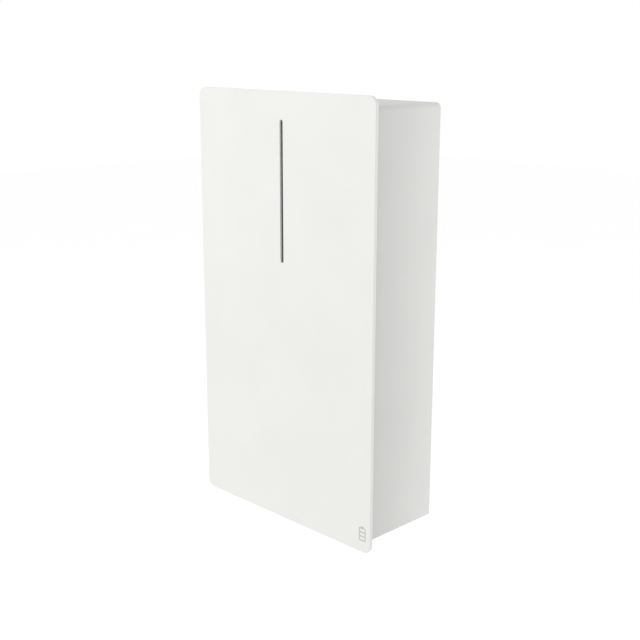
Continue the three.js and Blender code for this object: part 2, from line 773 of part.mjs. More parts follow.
// ---------------------------------------------------------------- cables clipped inside
function acTrunkRoute() {
  const { x, y } = AC_CABLE;
  const high = TERMINALS.z + TERMINALS.height / 2 + GAP;
  return [
    [TERMINALS.x, y, high],
    [TERMINALS.x, y, high + 16],
    [TERMINALS.x - 12, y, high + 32],
    [TERMINALS.x - 40, y, high + 42],
    [x + 34, y, high + 52],
    [x + 8, y, high + 66],
    [x, y, high + 90],
    [x, y, -160],
    [x, y, 0],
    [x, y, 150],
    [x, y, 262],
    [x + 6, y + 6, 280],
    [x + 27, y + 10, 286],
  ];
}

function dcRoute(side, column) {
  const { y } = DC_CABLE;
  const high = DC_SWITCH.z + DC_SWITCH.size / 2 + GAP;
  const start = DC_SWITCH.x + side * 13;
  const rise = side < 0 ? 46 : 30;
  return [
    [start, y, high],
    [start, y, high + rise - 18],
    [start + 10, y, high + rise - 4],
    [start + 26, y, high + rise],
    [column - 22, y, high + rise],
    [column - 6, y, high + rise + 7],
    [column, y, high + rise + 24],
    [column, y, -200],
    [column, y, 0],
    [column, y, 200],
    [column, y, 340],
    [column - 2, y, 366],
    [column - (side < 0 ? 4 : 6), y, 384],
  ];
}

function commsRoute() {
  const { x, y } = COMMS_CABLE;
  const high = BOARD.z + BOARD.height / 2;
  const board = GEAR.face - GAP - BOARD.standoff - BOARD.thick - 5;
  return [
    [BOARD.x - 30, board, high + GAP],
    [BOARD.x - 30, board, high + 5],
    [BOARD.x - 42, board, high + 12],
    [BOARD.x - 90, board + 3, high + 12],
    [-210, board + 6, high + 12],
    [x + 16, y, high + 13],
    [x + 3, y, high + 20],
    [x, y, high + 32],
    [x, y, -200],
    [x, y, 0],
    [x, y, 200],
    [x, y, 360],
    [x + 6, y + 6, 384],
    [x + 20, y + 13, 392],
  ];
}

// ---------------------------------------------------------------- assembly
const unit = new THREE.Group();

function place(parent, name, geometry, finish, x = 0, y = 0, z = 0) {
  const mesh = new THREE.Mesh(geometry, finish);
  mesh.name = name;
  mesh.position.set(x, y, z);
  parent.add(mesh);
  return mesh;
}

function subassembly() {
  const group = new THREE.Group();
  unit.add(group);
  return group;
}

const sideNames = { "-1": "left", 1: "right" };
const levels = ["lower", "upper"];

const cover = subassembly();
place(cover, "front_cover", frontCover(), coverPaint());
place(cover, "emblem", emblem(), greyPlastic());
place(cover, "cover_seal", coverSeal(), foam());

const enclosure = subassembly();
place(enclosure, "enclosure_shell", enclosureShell(), bodyPaint());
place(enclosure, "enclosure_floor", enclosureFloor(), bodyPaint());
place(enclosure, "front_panel", frontPanel(), zinc());
place(enclosure, "rear_panel", rearPanel(), bodyPaint());
place(enclosure, "light_lens", lightLens(), lensPlastic());
place(enclosure, "led_board", ledBoard(), circuitBoard());

const wallSide = subassembly();
place(wallSide, "wall_bracket", wallBracket(), zinc());

for (const side of [-1, 1]) {
  const hand = sideNames[side];
  levels.forEach((level, index) => {
    const end = `${level}_${hand}`;
    const studZ = STUD.heights[index];
    place(cover, `cover_clip_${end}`, coverClip(), blackPlastic(), side * STUD.x, 0, studZ);
    place(enclosure, `cover_stud_${end}`, ballStud(), steel(), side * STUD.x, 0, studZ);
    place(enclosure, `panel_screw_${end}`, panelScrew(), steel(), side * SCREW.x, 0, SCREW.heights[index]);
    place(enclosure, `hang_hook_${end}`, hangHook(), zinc(), side * HOOK.x, 0, HOOK.heights[index]);
  });
  place(wallSide, `lock_bolt_${hand}`, lockBolt(), steel(), side * LOCK.x, LOCK.y, 0);
}

const floorPieces = subassembly();
for (const [name, gland] of [["ac_cable_gland", AC_GLAND], ["comms_cable_gland", COMMS_GLAND]]) {
  place(floorPieces, name, cableGland(gland), blackPlastic(), gland.x, gland.y);
}
place(floorPieces, "breather_vent", breatherVent(), blackPlastic(), VENT.x, VENT.y);
place(floorPieces, "earth_stud", earthStud(), brass(), EARTH.x, EARTH.y);

const bay = subassembly();
place(bay, "bay_divider", bayDivider(), bodyPaint());
place(bay, "gear_plate", gearPlate(), zinc());
place(bay, "ac_terminal_block", terminalBlock(), greyPlastic());
const leverY = GEAR.face - GAP - TERMINALS.depth + 1.4;
const leverZ = TERMINALS.z + TERMINALS.height / 2 - 9;
["left", "centre", "right"].forEach((label, index) => {
  const x = TERMINALS.x + (index - 1) * TERMINALS.pitch;
  place(bay, `terminal_lever_${label}`, terminalLever(), orangePlastic(), x, leverY, leverZ);
});
place(bay, "dc_switch_body", dcSwitchBody(), greyPlastic());
place(bay, "dc_switch_knob", dcSwitchKnob(), blackPlastic(), DC_SWITCH.x, 0, DC_SWITCH.z);
place(bay, "control_board", controlBoard(), circuitBoard());
place(bay, "pairing_button", pairingButton(), orangePlastic(), BUTTON.x, 0, BUTTON.z);
place(bay, "ac_trunk_cable", cable(acTrunkRoute(), AC_CABLE.radius, 30), greyJacket());
place(bay, "dc_cable_positive", cable(dcRoute(-1, DC_CABLE.columns[0]), DC_CABLE.radius, 30), redJacket());
place(bay, "dc_cable_negative", cable(dcRoute(1, DC_CABLE.columns[1]), DC_CABLE.radius, 30), blackJacket());
place(bay, "comms_cable", cable(commsRoute(), COMMS_CABLE.radius, 30), blackJacket());

const cells = subassembly();
place(cells, "pack_tray", packTray(), zinc());
place(cells, "pack_cover", packCover(), zinc());
place(cells, "cell_stack_lower", cellStack(-156), cellSkin());
place(cells, "cell_stack_upper", cellStack(0), cellSkin());

const electronics = subassembly();
place(electronics, "inverter_carrier", inverterCarrier(), aluminium());
INVERTER.rows.forEach((z, row) => {
  const level = levels[row];
  INVERTER.columns.forEach((x, column) => {
    const label = ["left", "centre", "right"][column];
    place(electronics, `inverter_${level}_${label}`, inverterModule(), blackPlastic(), x, 0, z);
  });
});
place(electronics, "management_board", managementBoard(), circuitBoard());
place(electronics, "main_fuse", mainFuse(), greyPlastic());
place(electronics, "dc_contactor", dcContactor(), blackPlastic());

export default unit;
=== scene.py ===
"""Wall battery unit: the looks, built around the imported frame.

Meshes are drawn in millimetres in the row frame (X right, Y towards the wall, Z up) and are
scaled to metres as each piece is made.
"""

import json
import math
import random

import bmesh
import bpy
from mathutils import Matrix, Vector


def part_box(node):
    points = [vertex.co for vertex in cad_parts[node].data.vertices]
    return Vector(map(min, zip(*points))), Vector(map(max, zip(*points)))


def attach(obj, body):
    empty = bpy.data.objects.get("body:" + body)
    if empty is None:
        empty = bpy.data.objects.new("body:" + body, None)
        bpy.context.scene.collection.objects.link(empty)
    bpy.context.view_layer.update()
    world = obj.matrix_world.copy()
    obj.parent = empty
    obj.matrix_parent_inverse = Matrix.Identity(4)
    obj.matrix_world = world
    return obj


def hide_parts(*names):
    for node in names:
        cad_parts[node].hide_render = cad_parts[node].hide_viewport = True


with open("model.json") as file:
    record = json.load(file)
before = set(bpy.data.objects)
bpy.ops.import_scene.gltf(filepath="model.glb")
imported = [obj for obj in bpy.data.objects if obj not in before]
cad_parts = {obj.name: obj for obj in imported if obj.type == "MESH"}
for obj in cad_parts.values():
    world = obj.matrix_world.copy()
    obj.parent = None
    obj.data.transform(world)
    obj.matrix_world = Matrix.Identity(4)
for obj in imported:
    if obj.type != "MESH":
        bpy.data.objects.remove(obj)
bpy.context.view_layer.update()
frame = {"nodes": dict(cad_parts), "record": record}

MM = 0.001
HANDS = ("left", "right")
LEVELS = ("lower", "upper")
LEVERS = ("left", "centre", "right")
SHARP = math.radians(34)


# ------------------------------------------------------------------ camera, floor and light
CAMERA_PLACE = (1.7504, -1.8210, 0.6050)
CAMERA_AZIMUTH = 45.27
CAMERA_ELEVATION = 14.53
CAMERA_ROLL = 0.11
CAMERA_LENS = 61.85
SENSOR = 36.0
FLOOR_HEIGHT = -1.25


def make_camera():
    azimuth = math.radians(CAMERA_AZIMUTH)
    elevation = math.radians(CAMERA_ELEVATION)
    back = Vector(
        (
            math.sin(azimuth) * math.cos(elevation),
            -math.cos(azimuth) * math.cos(elevation),
            math.sin(elevation),
        )
    )
    right = (-back).cross(Vector((0, 0, 1))).normalized()
    up = right.cross(-back)
    turn = Matrix((right, up, back)).transposed().to_4x4()
    data = bpy.data.cameras.new("camera")
    data.lens = CAMERA_LENS
    data.sensor_width = SENSOR
    data.clip_end = 50
    camera = bpy.data.objects.new("camera", data)
    roll = Matrix.Rotation(math.radians(CAMERA_ROLL), 4, "Z")
    camera.matrix_world = Matrix.Translation(CAMERA_PLACE) @ turn @ roll
    bpy.context.scene.collection.objects.link(camera)
    bpy.context.scene.camera = camera


def area_light(name, place, target, size, power, spread=180):
    data = bpy.data.lights.new(name, "AREA")
    data.shape = "RECTANGLE"
    data.size, data.size_y = size
    data.energy = power
    data.spread = math.radians(spread)
    light = bpy.data.objects.new(name, data)
    light.location = place
    aim = Vector(target) - Vector(place)
    light.rotation_mode = "QUATERNION"
    light.rotation_quaternion = aim.to_track_quat("-Z", "Y")
    bpy.context.scene.collection.objects.link(light)


def make_stage():
    world = bpy.data.worlds.new("studio")
    world.use_nodes = True
    background = world.node_tree.nodes["Background"]
    background.inputs["Color"].default_value = (1, 1, 1, 1)
    background.inputs["Strength"].default_value = 1.0
    bpy.context.scene.world = world
    bpy.context.scene.view_settings.view_transform = "Standard"
    area_light("key", (-1.6, -3.4, 1.6), (0, -0.2, 0), (2.4, 2.4), 50)
    area_light("side_fill", (0.6, 0.2, 0.0), (0.27, 0.05, 0.0), (0.3, 1.6), 0.61, 60)

    bm = bmesh.new()
    size = 12
    corners = [(-size, -size), (size, -size), (size, size), (-size, size)]
    bm.faces.new([bm.verts.new((x, y, FLOOR_HEIGHT)) for x, y in corners])
    mesh = bpy.data.meshes.new("floor")
    bm.to_mesh(mesh)
    bm.free()
    floor = bpy.data.objects.new("floor", mesh)
    bpy.context.scene.collection.objects.link(floor)
    material = bpy.data.materials.new("floor_pale")
    material.use_nodes = True
    shader = material.node_tree.nodes["Principled BSDF"]
    shader.inputs["Base Color"].default_value = (0.86, 0.86, 0.86, 1)
    shader.inputs["Roughness"].default_value = 0.8
    shader.inputs["Emission Color"].default_value = (1, 1, 1, 1)
    shader.inputs["Emission Strength"].default_value = 0.12
    mesh.materials.append(material)


# ------------------------------------------------------------------ materials
def new_material(name, colour, roughness, metallic=0.0):
    """A Principled material, its node tree, its shader and its object coordinates in metres."""
    material = bpy.data.materials.new(name)
    material.use_nodes = True
    tree = material.node_tree
    shader = tree.nodes["Principled BSDF"]
    shader.inputs["Base Color"].default_value = (*colour, 1)
    shader.inputs["Roughness"].default_value = roughness
    shader.inputs["Metallic"].default_value = metallic
    place = tree.nodes.new("ShaderNodeTexCoord").outputs["Object"]
    return material, tree, shader, place


def noise(tree, place, scale, detail=2.0, roughness=0.5):
    node = tree.nodes.new("ShaderNodeTexNoise")
    node.inputs["Scale"].default_value = scale
    node.inputs["Detail"].default_value = detail
    node.inputs["Roughness"].default_value = roughness
    tree.links.new(place, node.inputs["Vector"])
    return node.outputs["Fac"]


def voronoi(tree, place, scale, output="Distance"):
    node = tree.nodes.new("ShaderNodeTexVoronoi")
    node.inputs["Scale"].default_value = scale
    tree.links.new(place, node.inputs["Vector"])
    return node.outputs[output]


def remap(tree, value, low, high, out_low, out_high):
    node = tree.nodes.new("ShaderNodeMapRange")
    limits = {"From Min": low, "From Max": high, "To Min": out_low, "To Max": out_high}
    for key, number in limits.items():
        node.inputs[key].default_value = number
    tree.links.new(value, node.inputs["Value"])
    return node.outputs["Result"]


def mix_colour(tree, factor, first, second):
    node = tree.nodes.new("ShaderNodeMix")
    node.data_type = "RGBA"
    node.inputs["A"].default_value = (*first, 1)
    node.inputs["B"].default_value = (*second, 1)
    tree.links.new(factor, node.inputs["Factor"])
    return node.outputs["Result"]


def add_bump(tree, shader, height, strength, distance):
    node = tree.nodes.new("ShaderNodeBump")
    node.inputs["Strength"].default_value = strength
    node.inputs["Distance"].default_value = distance
    tree.links.new(height, node.inputs["Height"])
    previous = shader.inputs["Normal"]
    if previous.is_linked:
        tree.links.new(previous.links[0].from_socket, node.inputs["Normal"])
    tree.links.new(node.outputs["Normal"], previous)


def shade(colour, factor):
    return tuple(min(1.0, part * factor) for part in colour)


def vary_colour(tree, shader, colour, value, low, high, first, second):
    """Runs the base colour from first to second times colour as value goes from low to high."""
    share = remap(tree, value, low, high, 0, 1)
    tone = mix_colour(tree, share, shade(colour, first), shade(colour, second))
    tree.links.new(tone, shader.inputs["Base Color"])


def vary_roughness(tree, shader, value, low, high, first, second):
    tree.links.new(remap(tree, value, low, high, first, second), shader.inputs["Roughness"])


def powder_coat(name, colour, peel, roughness):
    """Satin powder coat: orange peel about a millimetre across, over a faint cloudiness."""
    material, tree, shader, place = new_material(name, colour, roughness)
    cloud = noise(tree, place, 7.0, 3.0)
    vary_colour(tree, shader, colour, cloud, 0.3, 0.7, 0.985, 1.012)
    grain = noise(tree, place, peel, 2.0, 0.45)
    vary_roughness(tree, shader, grain, 0.3, 0.7, roughness - 0.05, roughness + 0.07)
    add_bump(tree, shader, grain, 0.22, 0.00012)
    add_bump(tree, shader, noise(tree, place, peel * 3.1, 1.0), 0.12, 0.00005)
    shader.inputs["Specular IOR Level"].default_value = 0.45
    return material


def galvanised(name, colour=(0.56, 0.575, 0.59)):
    """Hot-dip sheet: crystals about a centimetre across with their own tone and grain."""
    material, tree, shader, place = new_material(name, colour, 0.42, 1.0)
    warp = noise(tree, place, 40.0, 2.0)
    split = tree.nodes.new("ShaderNodeSeparateColor")
    tree.links.new(voronoi(tree, place, 150.0, "Color"), split.inputs["Color"])
    vary_colour(tree, shader, colour, split.outputs["Red"], 0, 1, 0.95, 1.04)
    vary_roughness(tree, shader, split.outputs["Green"], 0, 1, 0.42, 0.5)
    add_bump(tree, shader, warp, 0.15, 0.0003)
    add_bump(tree, shader, noise(tree, place, 900.0, 3.0), 0.12, 0.00005)
    return material


def plated_steel(name, colour=(0.6, 0.61, 0.62), roughness=0.3):
    """Plated and turned metal, with uneven gloss and darker stains."""
    material, tree, shader, place = new_material(name, colour, roughness, 1.0)
    wear = noise(tree, place, 260.0, 4.0, 0.6)
    vary_roughness(tree, shader, wear, 0.3, 0.7, roughness - 0.07, roughness + 0.14)
    vary_colour(tree, shader, colour, noise(tree, place, 60.0, 3.0), 0.35, 0.7, 1, 0.86)
    add_bump(tree, shader, noise(tree, place, 1800.0, 2.0), 0.1, 0.00003)
    return material


def brushed_aluminium(name, colour=(0.72, 0.73, 0.74)):
    """Aluminium with fine lines along X."""
    material, tree, shader, place = new_material(name, colour, 0.36, 1.0)
    stretch = tree.nodes.new("ShaderNodeMapping")
    stretch.inputs["Scale"].default_value = (1.0, 60.0, 60.0)
    tree.links.new(place, stretch.inputs["Vector"])
    lines = noise(tree, stretch.outputs["Vector"], 30.0, 3.0, 0.6)
    vary_roughness(tree, shader, lines, 0.3, 0.7, 0.28, 0.48)
    add_bump(tree, shader, lines, 0.12, 0.00005)
    return material


def moulded(name, colour, roughness):
    """Moulded plastic: fine spark-eroded texture and slightly uneven gloss."""
    material, tree, shader, place = new_material(name, colour, roughness)
    add_bump(tree, shader, noise(tree, place, 1400.0, 2.0, 0.6), 0.25, 0.00006)
    gloss = noise(tree, place, 35.0, 3.0)
    vary_roughness(tree, shader, gloss, 0.3, 0.7, roughness - 0.05, roughness + 0.06)
    vary_colour(tree, shader, colour, gloss, 0.3, 0.7, 0.95, 1.05)
    return material


def closed_cell_foam(name, colour=(0.035, 0.035, 0.038)):
    material, tree, shader, place = new_material(name, colour, 0.92)
    pores = voronoi(tree, place, 1500.0)
    add_bump(tree, shader, pores, 0.5, 0.0002)
    # Darker in the pits of the pores than on their rims: painted shade in the pits.
    vary_colour(tree, shader, colour, pores, 0, 0.7, 0.6, 1.5)
    return material


def smoked_lens(name, colour=(0.085, 0.087, 0.09)):
    """A diffuser with a clear satin skin over a dark body and a faint moulded flow."""
    material, tree, shader, place = new_material(name, colour, 0.3)
    vary_colour(tree, shader, colour, noise(tree, place, 18.0, 2.0), 0.3, 0.7, 0.85, 1.15)
    shader.inputs["Coat Weight"].default_value = 0.35
    shader.inputs["Coat Roughness"].default_value = 0.2
    add_bump(tree, shader, noise(tree, place, 700.0, 1.0), 0.08, 0.00005)
    return material


def solder_mask(name, colour=(0.012, 0.11, 0.045)):
    """Green mask with brighter copper runs showing through it."""
    material, tree, shader, place = new_material(name, colour, 0.34)
    brick = tree.nodes.new("ShaderNodeTexBrick")
    brick.offset = 0.37
    brick.squash = 1.0
    values = {
        "Scale": 190.0,
        "Mortar Size": 0.06,
        "Mortar Smooth": 0.2,
        "Brick Width": 1.9,
        "Row Height": 0.42,
    }
    for key, value in values.items():
        brick.inputs[key].default_value = value
    swing = tree.nodes.new("ShaderNodeMapping")
    swing.inputs["Rotation"].default_value = (math.pi / 2, 0, 0)
    tree.links.new(place, swing.inputs["Vector"])
    tree.links.new(swing.outputs["Vector"], brick.inputs["Vector"])
    copper = (0.05, 0.26, 0.12)
    tone = mix_colour(tree, brick.outputs["Fac"], colour, copper)
    tree.links.new(tone, shader.inputs["Base Color"])
    add_bump(tree, shader, brick.outputs["Fac"], 0.2, 0.00005)
    return material


def jacket(name, colour):
    """A cable's extruded jacket: satin, with faint draw marks."""
    material, tree, shader, place = new_material(name, colour, 0.48)
    marks = noise(tree, place, 420.0, 3.0, 0.6)
    add_bump(tree, shader, marks, 0.15, 0.00006)
    vary_colour(tree, shader, colour, noise(tree, place, 25.0, 3.0), 0.35, 0.75, 1, 1.25)
    vary_roughness(tree, shader, marks, 0.3, 0.7, 0.42, 0.56)
    return material


COVER_WHITE = (0.665, 0.664, 0.646)
# The body's white is darker than the cover's: painted shade, standing in for the dimmer light on the
# body's sides.
BODY_WHITE_WITH_PAINTED_SHADE = (0.53, 0.53, 0.516)
MATERIALS = {
    "cover_paint": powder_coat("cover_paint", COVER_WHITE, 1100.0, 0.42),
    # body_paint carries that darker white, so every piece in it wears the painted shade.
    "body_paint": powder_coat("body_paint", BODY_WHITE_WITH_PAINTED_SHADE, 800.0, 0.5),
    "zinc_steel": galvanised("zinc_steel"),
    "fastener_steel": plated_steel("fastener_steel"),
    "bare_aluminium": brushed_aluminium("bare_aluminium"),
    "brass": plated_steel("brass", (0.72, 0.55, 0.27), 0.3),
    "black_plastic": moulded("black_plastic", (0.022, 0.022, 0.024), 0.46),
    "grey_plastic": moulded("grey_plastic", (0.43, 0.44, 0.45), 0.44),
    "orange_plastic": moulded("orange_plastic", (0.74, 0.2, 0.035), 0.4),
    "foam": closed_cell_foam("foam"),
    "lens": smoked_lens("lens"),
    "circuit_board": solder_mask("circuit_board"),
    "cell_case": moulded("cell_case", (0.05, 0.14, 0.36), 0.35),
    "red_jacket": jacket("red_jacket", (0.42, 0.022, 0.015)),
    "black_jacket": jacket("black_jacket", (0.02, 0.02, 0.022)),
    "grey_jacket": jacket("grey_jacket", (0.17, 0.175, 0.18)),
}


# ------------------------------------------------------------------ outlines, in millimetres
SAME_POINT = 1e-6


def rounded(x0, x1, z0, z1, top, bottom=None, steps=8):
    """Points round a rectangle with rounded corners. Corners that meet share one point."""
    bottom = top if bottom is None else bottom
    corners = (
        (x1 - bottom, z0 + bottom, bottom, -90),
        (x1 - top, z1 - top, top, 0),
        (x0 + top, z1 - top, top, 90),
        (x0 + bottom, z0 + bottom, bottom, 180),
    )
    points = []
    for x, z, radius, start in corners:
        for step in range(steps + 1):
            angle = math.radians(start + 90 * step / steps)
            point = (x + radius * math.cos(angle), z + radius * math.sin(angle))
            if not points or math.dist(point, points[-1]) > SAME_POINT:
                points.append(point)
    if math.dist(points[0], points[-1]) < SAME_POINT:
        points.pop()
    return points


def stadium(x, half, z0, z1, steps=10):
    """An upright slot with round ends."""
    return rounded(x - half, x + half, z0, z1, half, steps=steps)


def level_slot(x, half_length, z, half_height, steps=6):
    """A level slot with round ends."""
    ends = (x - half_length, x + half_length, z - half_height, z + half_height)
    return rounded(*ends, half_height, steps=steps)


def polar(radius_at, sides):
    """Points round the origin, at the distance that radius_at gives for each angle."""
    points = []
    for i in range(sides):
        angle = i * math.tau / sides
        radius = radius_at(angle)
        points.append((radius * math.cos(angle), radius * math.sin(angle)))
    return points


def circle(radius, sides=32):
    return polar(lambda angle: radius, sides)


def hexagon_radius(across_flats, angle):
    """Distance from the centre of a hexagon to its side, in the direction of angle."""
    slice_angle = (angle + math.pi / 6) % (math.pi / 3) - math.pi / 6
    return across_flats / 2 / math.cos(slice_angle)


def at_y(points, y):
    return [(x, y, z) for x, z in points]


def at_z(points, z):
    return [(x, y, z) for x, y in points]


def fillet(radius, steps=3):
    """(inset, depth) pairs round a quarter circle, from the face to the side."""
    pairs = []
    for step in range(steps + 1):
        angle = math.pi / 2 * step / steps
        pairs.append((radius * (1 - math.sin(angle)), radius * (1 - math.cos(angle))))
    return pairs


# ------------------------------------------------------------------ mesh building
FLAT = 1  # marks a face of a flat fill until the piece is made


def mm_box(node):
    low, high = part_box(node)
    return low / MM, high / MM


def mm_centre(node):
    low, high = mm_box(node)
    return (low + high) / 2


def ring(bm, points):
    return [bm.verts.new(point) for point in points]


def bridge(bm, first, second, count=None):
    size = len(first)
    for i in range(count or size):
        j = (i + 1) % size
        bm.faces.new((first[i], first[j], second[j], second[i]))


def chain(bm, rings, closed=False):
    for first, second in zip(rings, rings[1:]):
        bridge(bm, first, second)
    if closed:
        bridge(bm, rings[-1], rings[0])


def sweep(bm, outline, section, closed=False):
    """Carries outline(inset) along a section of (inset, y) pairs. Returns its rings."""
    rings = [ring(bm, at_y(outline(inset), y)) for inset, y in section]
    chain(bm, rings, closed)
    return rings


def cap(bm, rings):
    """Closes both ends of a chain of rings with one face each."""
    bm.faces.new(rings[0])
    bm.faces.new(rings[-1])


def fill(bm, *loops):
    """Fills the flat region between an outer loop and the loops inside it, with flat shading."""
    edges = []
    for loop in loops:
        for a, b in zip(loop, loop[1:] + loop[:1]):
            edges.append(bm.edges.get((a, b)) or bm.edges.new((a, b)))
    made = bmesh.ops.triangle_fill(bm, use_beauty=True, use_dissolve=False, edges=edges)
    for face in made["geom"]:
        if isinstance(face, bmesh.types.BMFace):
            face.material_index = FLAT


def box(bm, x0, x1, y0, y1, z0, z1, soft=0.3, steps=2):
    """A box whose edges are all rounded by soft."""
    part = bmesh.new()
    bmesh.ops.create_cube(part, size=1)
    size = Vector((x1 - x0, y1 - y0, z1 - z0))
    middle = Vector((x1 + x0, y1 + y0, z1 + z0)) / 2
    bmesh.ops.scale(part, vec=size, verts=part.verts)
    bmesh.ops.translate(part, vec=middle, verts=part.verts)
    bevel(part, part.edges[:], soft, steps)
    add(bm, part)


def bevel(bm, edges, width, steps):
    bmesh.ops.bevel(
        bm, geom=edges, offset=width, segments=steps, profile=0.5, affect="EDGES", clamp_overlap=True
    )


def add(bm, part, matrix=None):
    """Moves part's mesh into bm."""
    if matrix is not None:
        bmesh.ops.transform(part, matrix=matrix, verts=part.verts)
    mesh = bpy.data.meshes.new("part")
    part.to_mesh(mesh)
    part.free()
    bm.from_mesh(mesh)
    bpy.data.meshes.remove(mesh)


def lathe(bm, profile, sides=32, matrix=None):
    """Turns (radius, height) pairs about Z. A radius of 0 closes the end in a fan."""
    part = bmesh.new()
    rings = []
    for radius, height in profile:
        if radius > SAME_POINT:
            rings.append(ring(part, at_z(circle(radius, sides), height)))
        else:
            rings.append([part.verts.new((0, 0, height))])
    for first, second in zip(rings, rings[1:]):
        if len(first) == 1 or len(second) == 1:
            tip, rim = (first[0], second) if len(first) == 1 else (second[0], first)
            for a, b in zip(rim, rim[1:] + rim[:1]):
                part.faces.new((a, b, tip))
        else:
            bridge(part, first, second)
    add(bm, part, matrix)


def hex_ring(bm, across, z0, z1, bore=0.0, matrix=None):
    """A hexagon nut or head with the curved chamfers that turning gives its corners."""
    part = bmesh.new()
    sides = 48
    limit = across / 2 * 1.07
    chamfer = 0.58

    def level(height, inward):
        points = []
        for i in range(sides):
            angle = i * math.tau / sides
            full = hexagon_radius(across, angle)
            radius = min(full, limit) if inward else full
            rise = 0.0 if inward else max(0.0, full - limit) * chamfer
            shifted = height + (rise if height == z0 else -rise)
            points.append((radius * math.cos(angle), radius * math.sin(angle), shifted))
        return ring(part, points)

    rings = [level(z0, True), level(z0, False), level(z1, False), level(z1, True)]
    if bore:
        inner = [ring(part, at_z(circle(bore, sides), z)) for z in (z1, z0)]
        chain(part, rings + inner, closed=True)
    else:
        chain(part, rings)
        cap(part, rings)
    add(bm, part, matrix)


def thread(radius, z0, z1, pitch=1.25, depth=0.45):
    """(radius, height) pairs along a threaded shank."""
    pairs = []
    count = max(1, round((z1 - z0) / pitch))
    step = (z1 - z0) / count
    for turn in range(count):
        low = z0 + turn * step
        pairs.append((radius - depth, low + step * 0.05))
        pairs.append((radius, low + step * 0.45))
        pairs.append((radius, low + step * 0.6))
    pairs.append((radius - depth, z1))
    return pairs


def facing_wall(x, y, z):
    """Puts a turned piece at a point, its axis along Y and its top towards the wall."""
    return Matrix.Translation((x, y, z)) @ Matrix.Rotation(-math.pi / 2, 4, "X")


def upright(node):
    """Puts a turned piece on the vertical axis of a CAD node."""
    middle = mm_centre(node)
    return Matrix.Translation((middle.x, middle.y, 0))


def at_corners(stem):
    """The names of four CAD nodes, one near each corner."""
    return [f"{stem}_{level}_{hand}" for level in LEVELS for hand in HANDS]


def clean_copy(node):
    """A CAD node's mesh in millimetres, its corners welded and its flat faces joined."""
    bm = bmesh.new()
    bm.from_mesh(frame["nodes"][node].data)
    bmesh.ops.scale(bm, vec=(1 / MM,) * 3, verts=bm.verts)
    bmesh.ops.remove_doubles(bm, verts=bm.verts, dist=0.004)
    bmesh.ops.dissolve_limit(
        bm, angle_limit=math.radians(0.4), verts=bm.verts, edges=bm.edges, delimit=set()
    )
    return bm


def soften(bm, width, steps, angle):
    """Rounds every edge that turns by more than angle degrees."""
    limit = math.radians(angle)
    edges = [e for e in bm.edges if len(e.link_faces) == 2 and e.calc_face_angle(0) > limit]
    bevel(bm, edges, width, steps)


def make_piece(name, bm, slot, body="unit", replaces=()):
    bmesh.ops.recalc_face_normals(bm, faces=bm.faces)
    bmesh.ops.scale(bm, vec=(MM,) * 3, verts=bm.verts)
    for face in bm.faces:
        face.smooth = face.material_index != FLAT
        face.material_index = 0
    mesh = bpy.data.meshes.new(name)
    bm.to_mesh(mesh)
    bm.free()
    mesh.set_sharp_from_angle(angle=SHARP)
    mesh.materials.append(MATERIALS[slot])
    piece = bpy.data.objects.new(name, mesh)
    bpy.context.scene.collection.objects.link(piece)
    weighted = piece.modifiers.new("weighted_normals", "WEIGHTED_NORMAL")
    weighted.keep_sharp = True
    weighted.weight = 100
    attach(piece, body)
    if replaces:
        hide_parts(*replaces)
    return piece


def refined(node, slot, width, body="unit", steps=2, angle=30):
    """A CAD node with its edges rounded, in place of the node."""
    bm = clean_copy(node)
    soften(bm, width, steps, angle)
    return make_piece(node + "_finished", bm, slot, body, [node])


# ------------------------------------------------------------------ cover
COVER_RADIUS = 20
COVER_FACE = 3
COVER_RIM = 2.6
COVER_EDGE = 1.3
SLOT_HALF = 4.8
SLOT_COLLAR = 4
SLOT_RECESS = 5.3
LENS_MARGIN = 8
EMBLEM_BAR = 2.4
EMBLEM_ROWS = 3
EMBLEM_CAP = (4, 3)
EMBLEM_DEPTH = 1.0
EMBLEM_CLEARANCE = 0.15
EMBLEM_CORNER_STEPS = 6


def slot_outline(grow, steps=10):
    low, high = mm_box("light_lens")
    middle = (low.x + high.x) / 2
    bottom, top = low.z + LENS_MARGIN, high.z - LENS_MARGIN
    return stadium(middle, SLOT_HALF + grow, bottom - grow, top + grow, steps)


def emblem_outline(grow):
    """An upright cell: a rounded frame with a small cap on top."""
    low, high = mm_box("emblem")
    margin = EMBLEM_CLEARANCE + grow
    x0, x1 = low.x - margin, high.x + margin
    cap_half, cap_rise = EMBLEM_CAP
    z1 = high.z + margin - cap_rise
    middle = (x0 + x1) / 2
    half = cap_half + grow
    points = rounded(x0, x1, low.z - margin, z1, 3 + grow, steps=EMBLEM_CORNER_STEPS)
    right_side = 2 * (EMBLEM_CORNER_STEPS + 1)
    top = z1 + cap_rise
    cap_points = [(middle + half, z1), (middle + half, top), (middle - half, top), (middle - half, z1)]
    return points[:right_side] + cap_points + points[right_side:]


def emblem_panes(grow):
    """The windows between the emblem's bars, grown by grow."""
    low, high = mm_box("emblem")
    z0 = low.z - EMBLEM_CLEARANCE
    height = high.z + EMBLEM_CLEARANCE - EMBLEM_CAP[1] - z0
    x0 = low.x - EMBLEM_CLEARANCE + EMBLEM_BAR - grow
    x1 = high.x + EMBLEM_CLEARANCE - EMBLEM_BAR + grow
    pane = (height - EMBLEM_BAR * (EMBLEM_ROWS + 1)) / EMBLEM_ROWS
    panes = []
    for row in range(EMBLEM_ROWS):
        bottom = z0 + EMBLEM_BAR + row * (pane + EMBLEM_BAR)
        panes.append(rounded(x0, x1, bottom - grow, bottom + pane + grow, 0.6, steps=3))
    return panes


def pane_walls(bm, section):
    """The walls round the emblem's windows. Returns the rings of each window."""
    walls = []
    for shapes in zip(*(emblem_panes(-grow - EMBLEM_CLEARANCE) for grow, _ in section)):
        rings = [ring(bm, at_y(points, y)) for points, (_, y) in zip(shapes, section)]
        chain(bm, rings)
        walls.append(rings)
    return walls


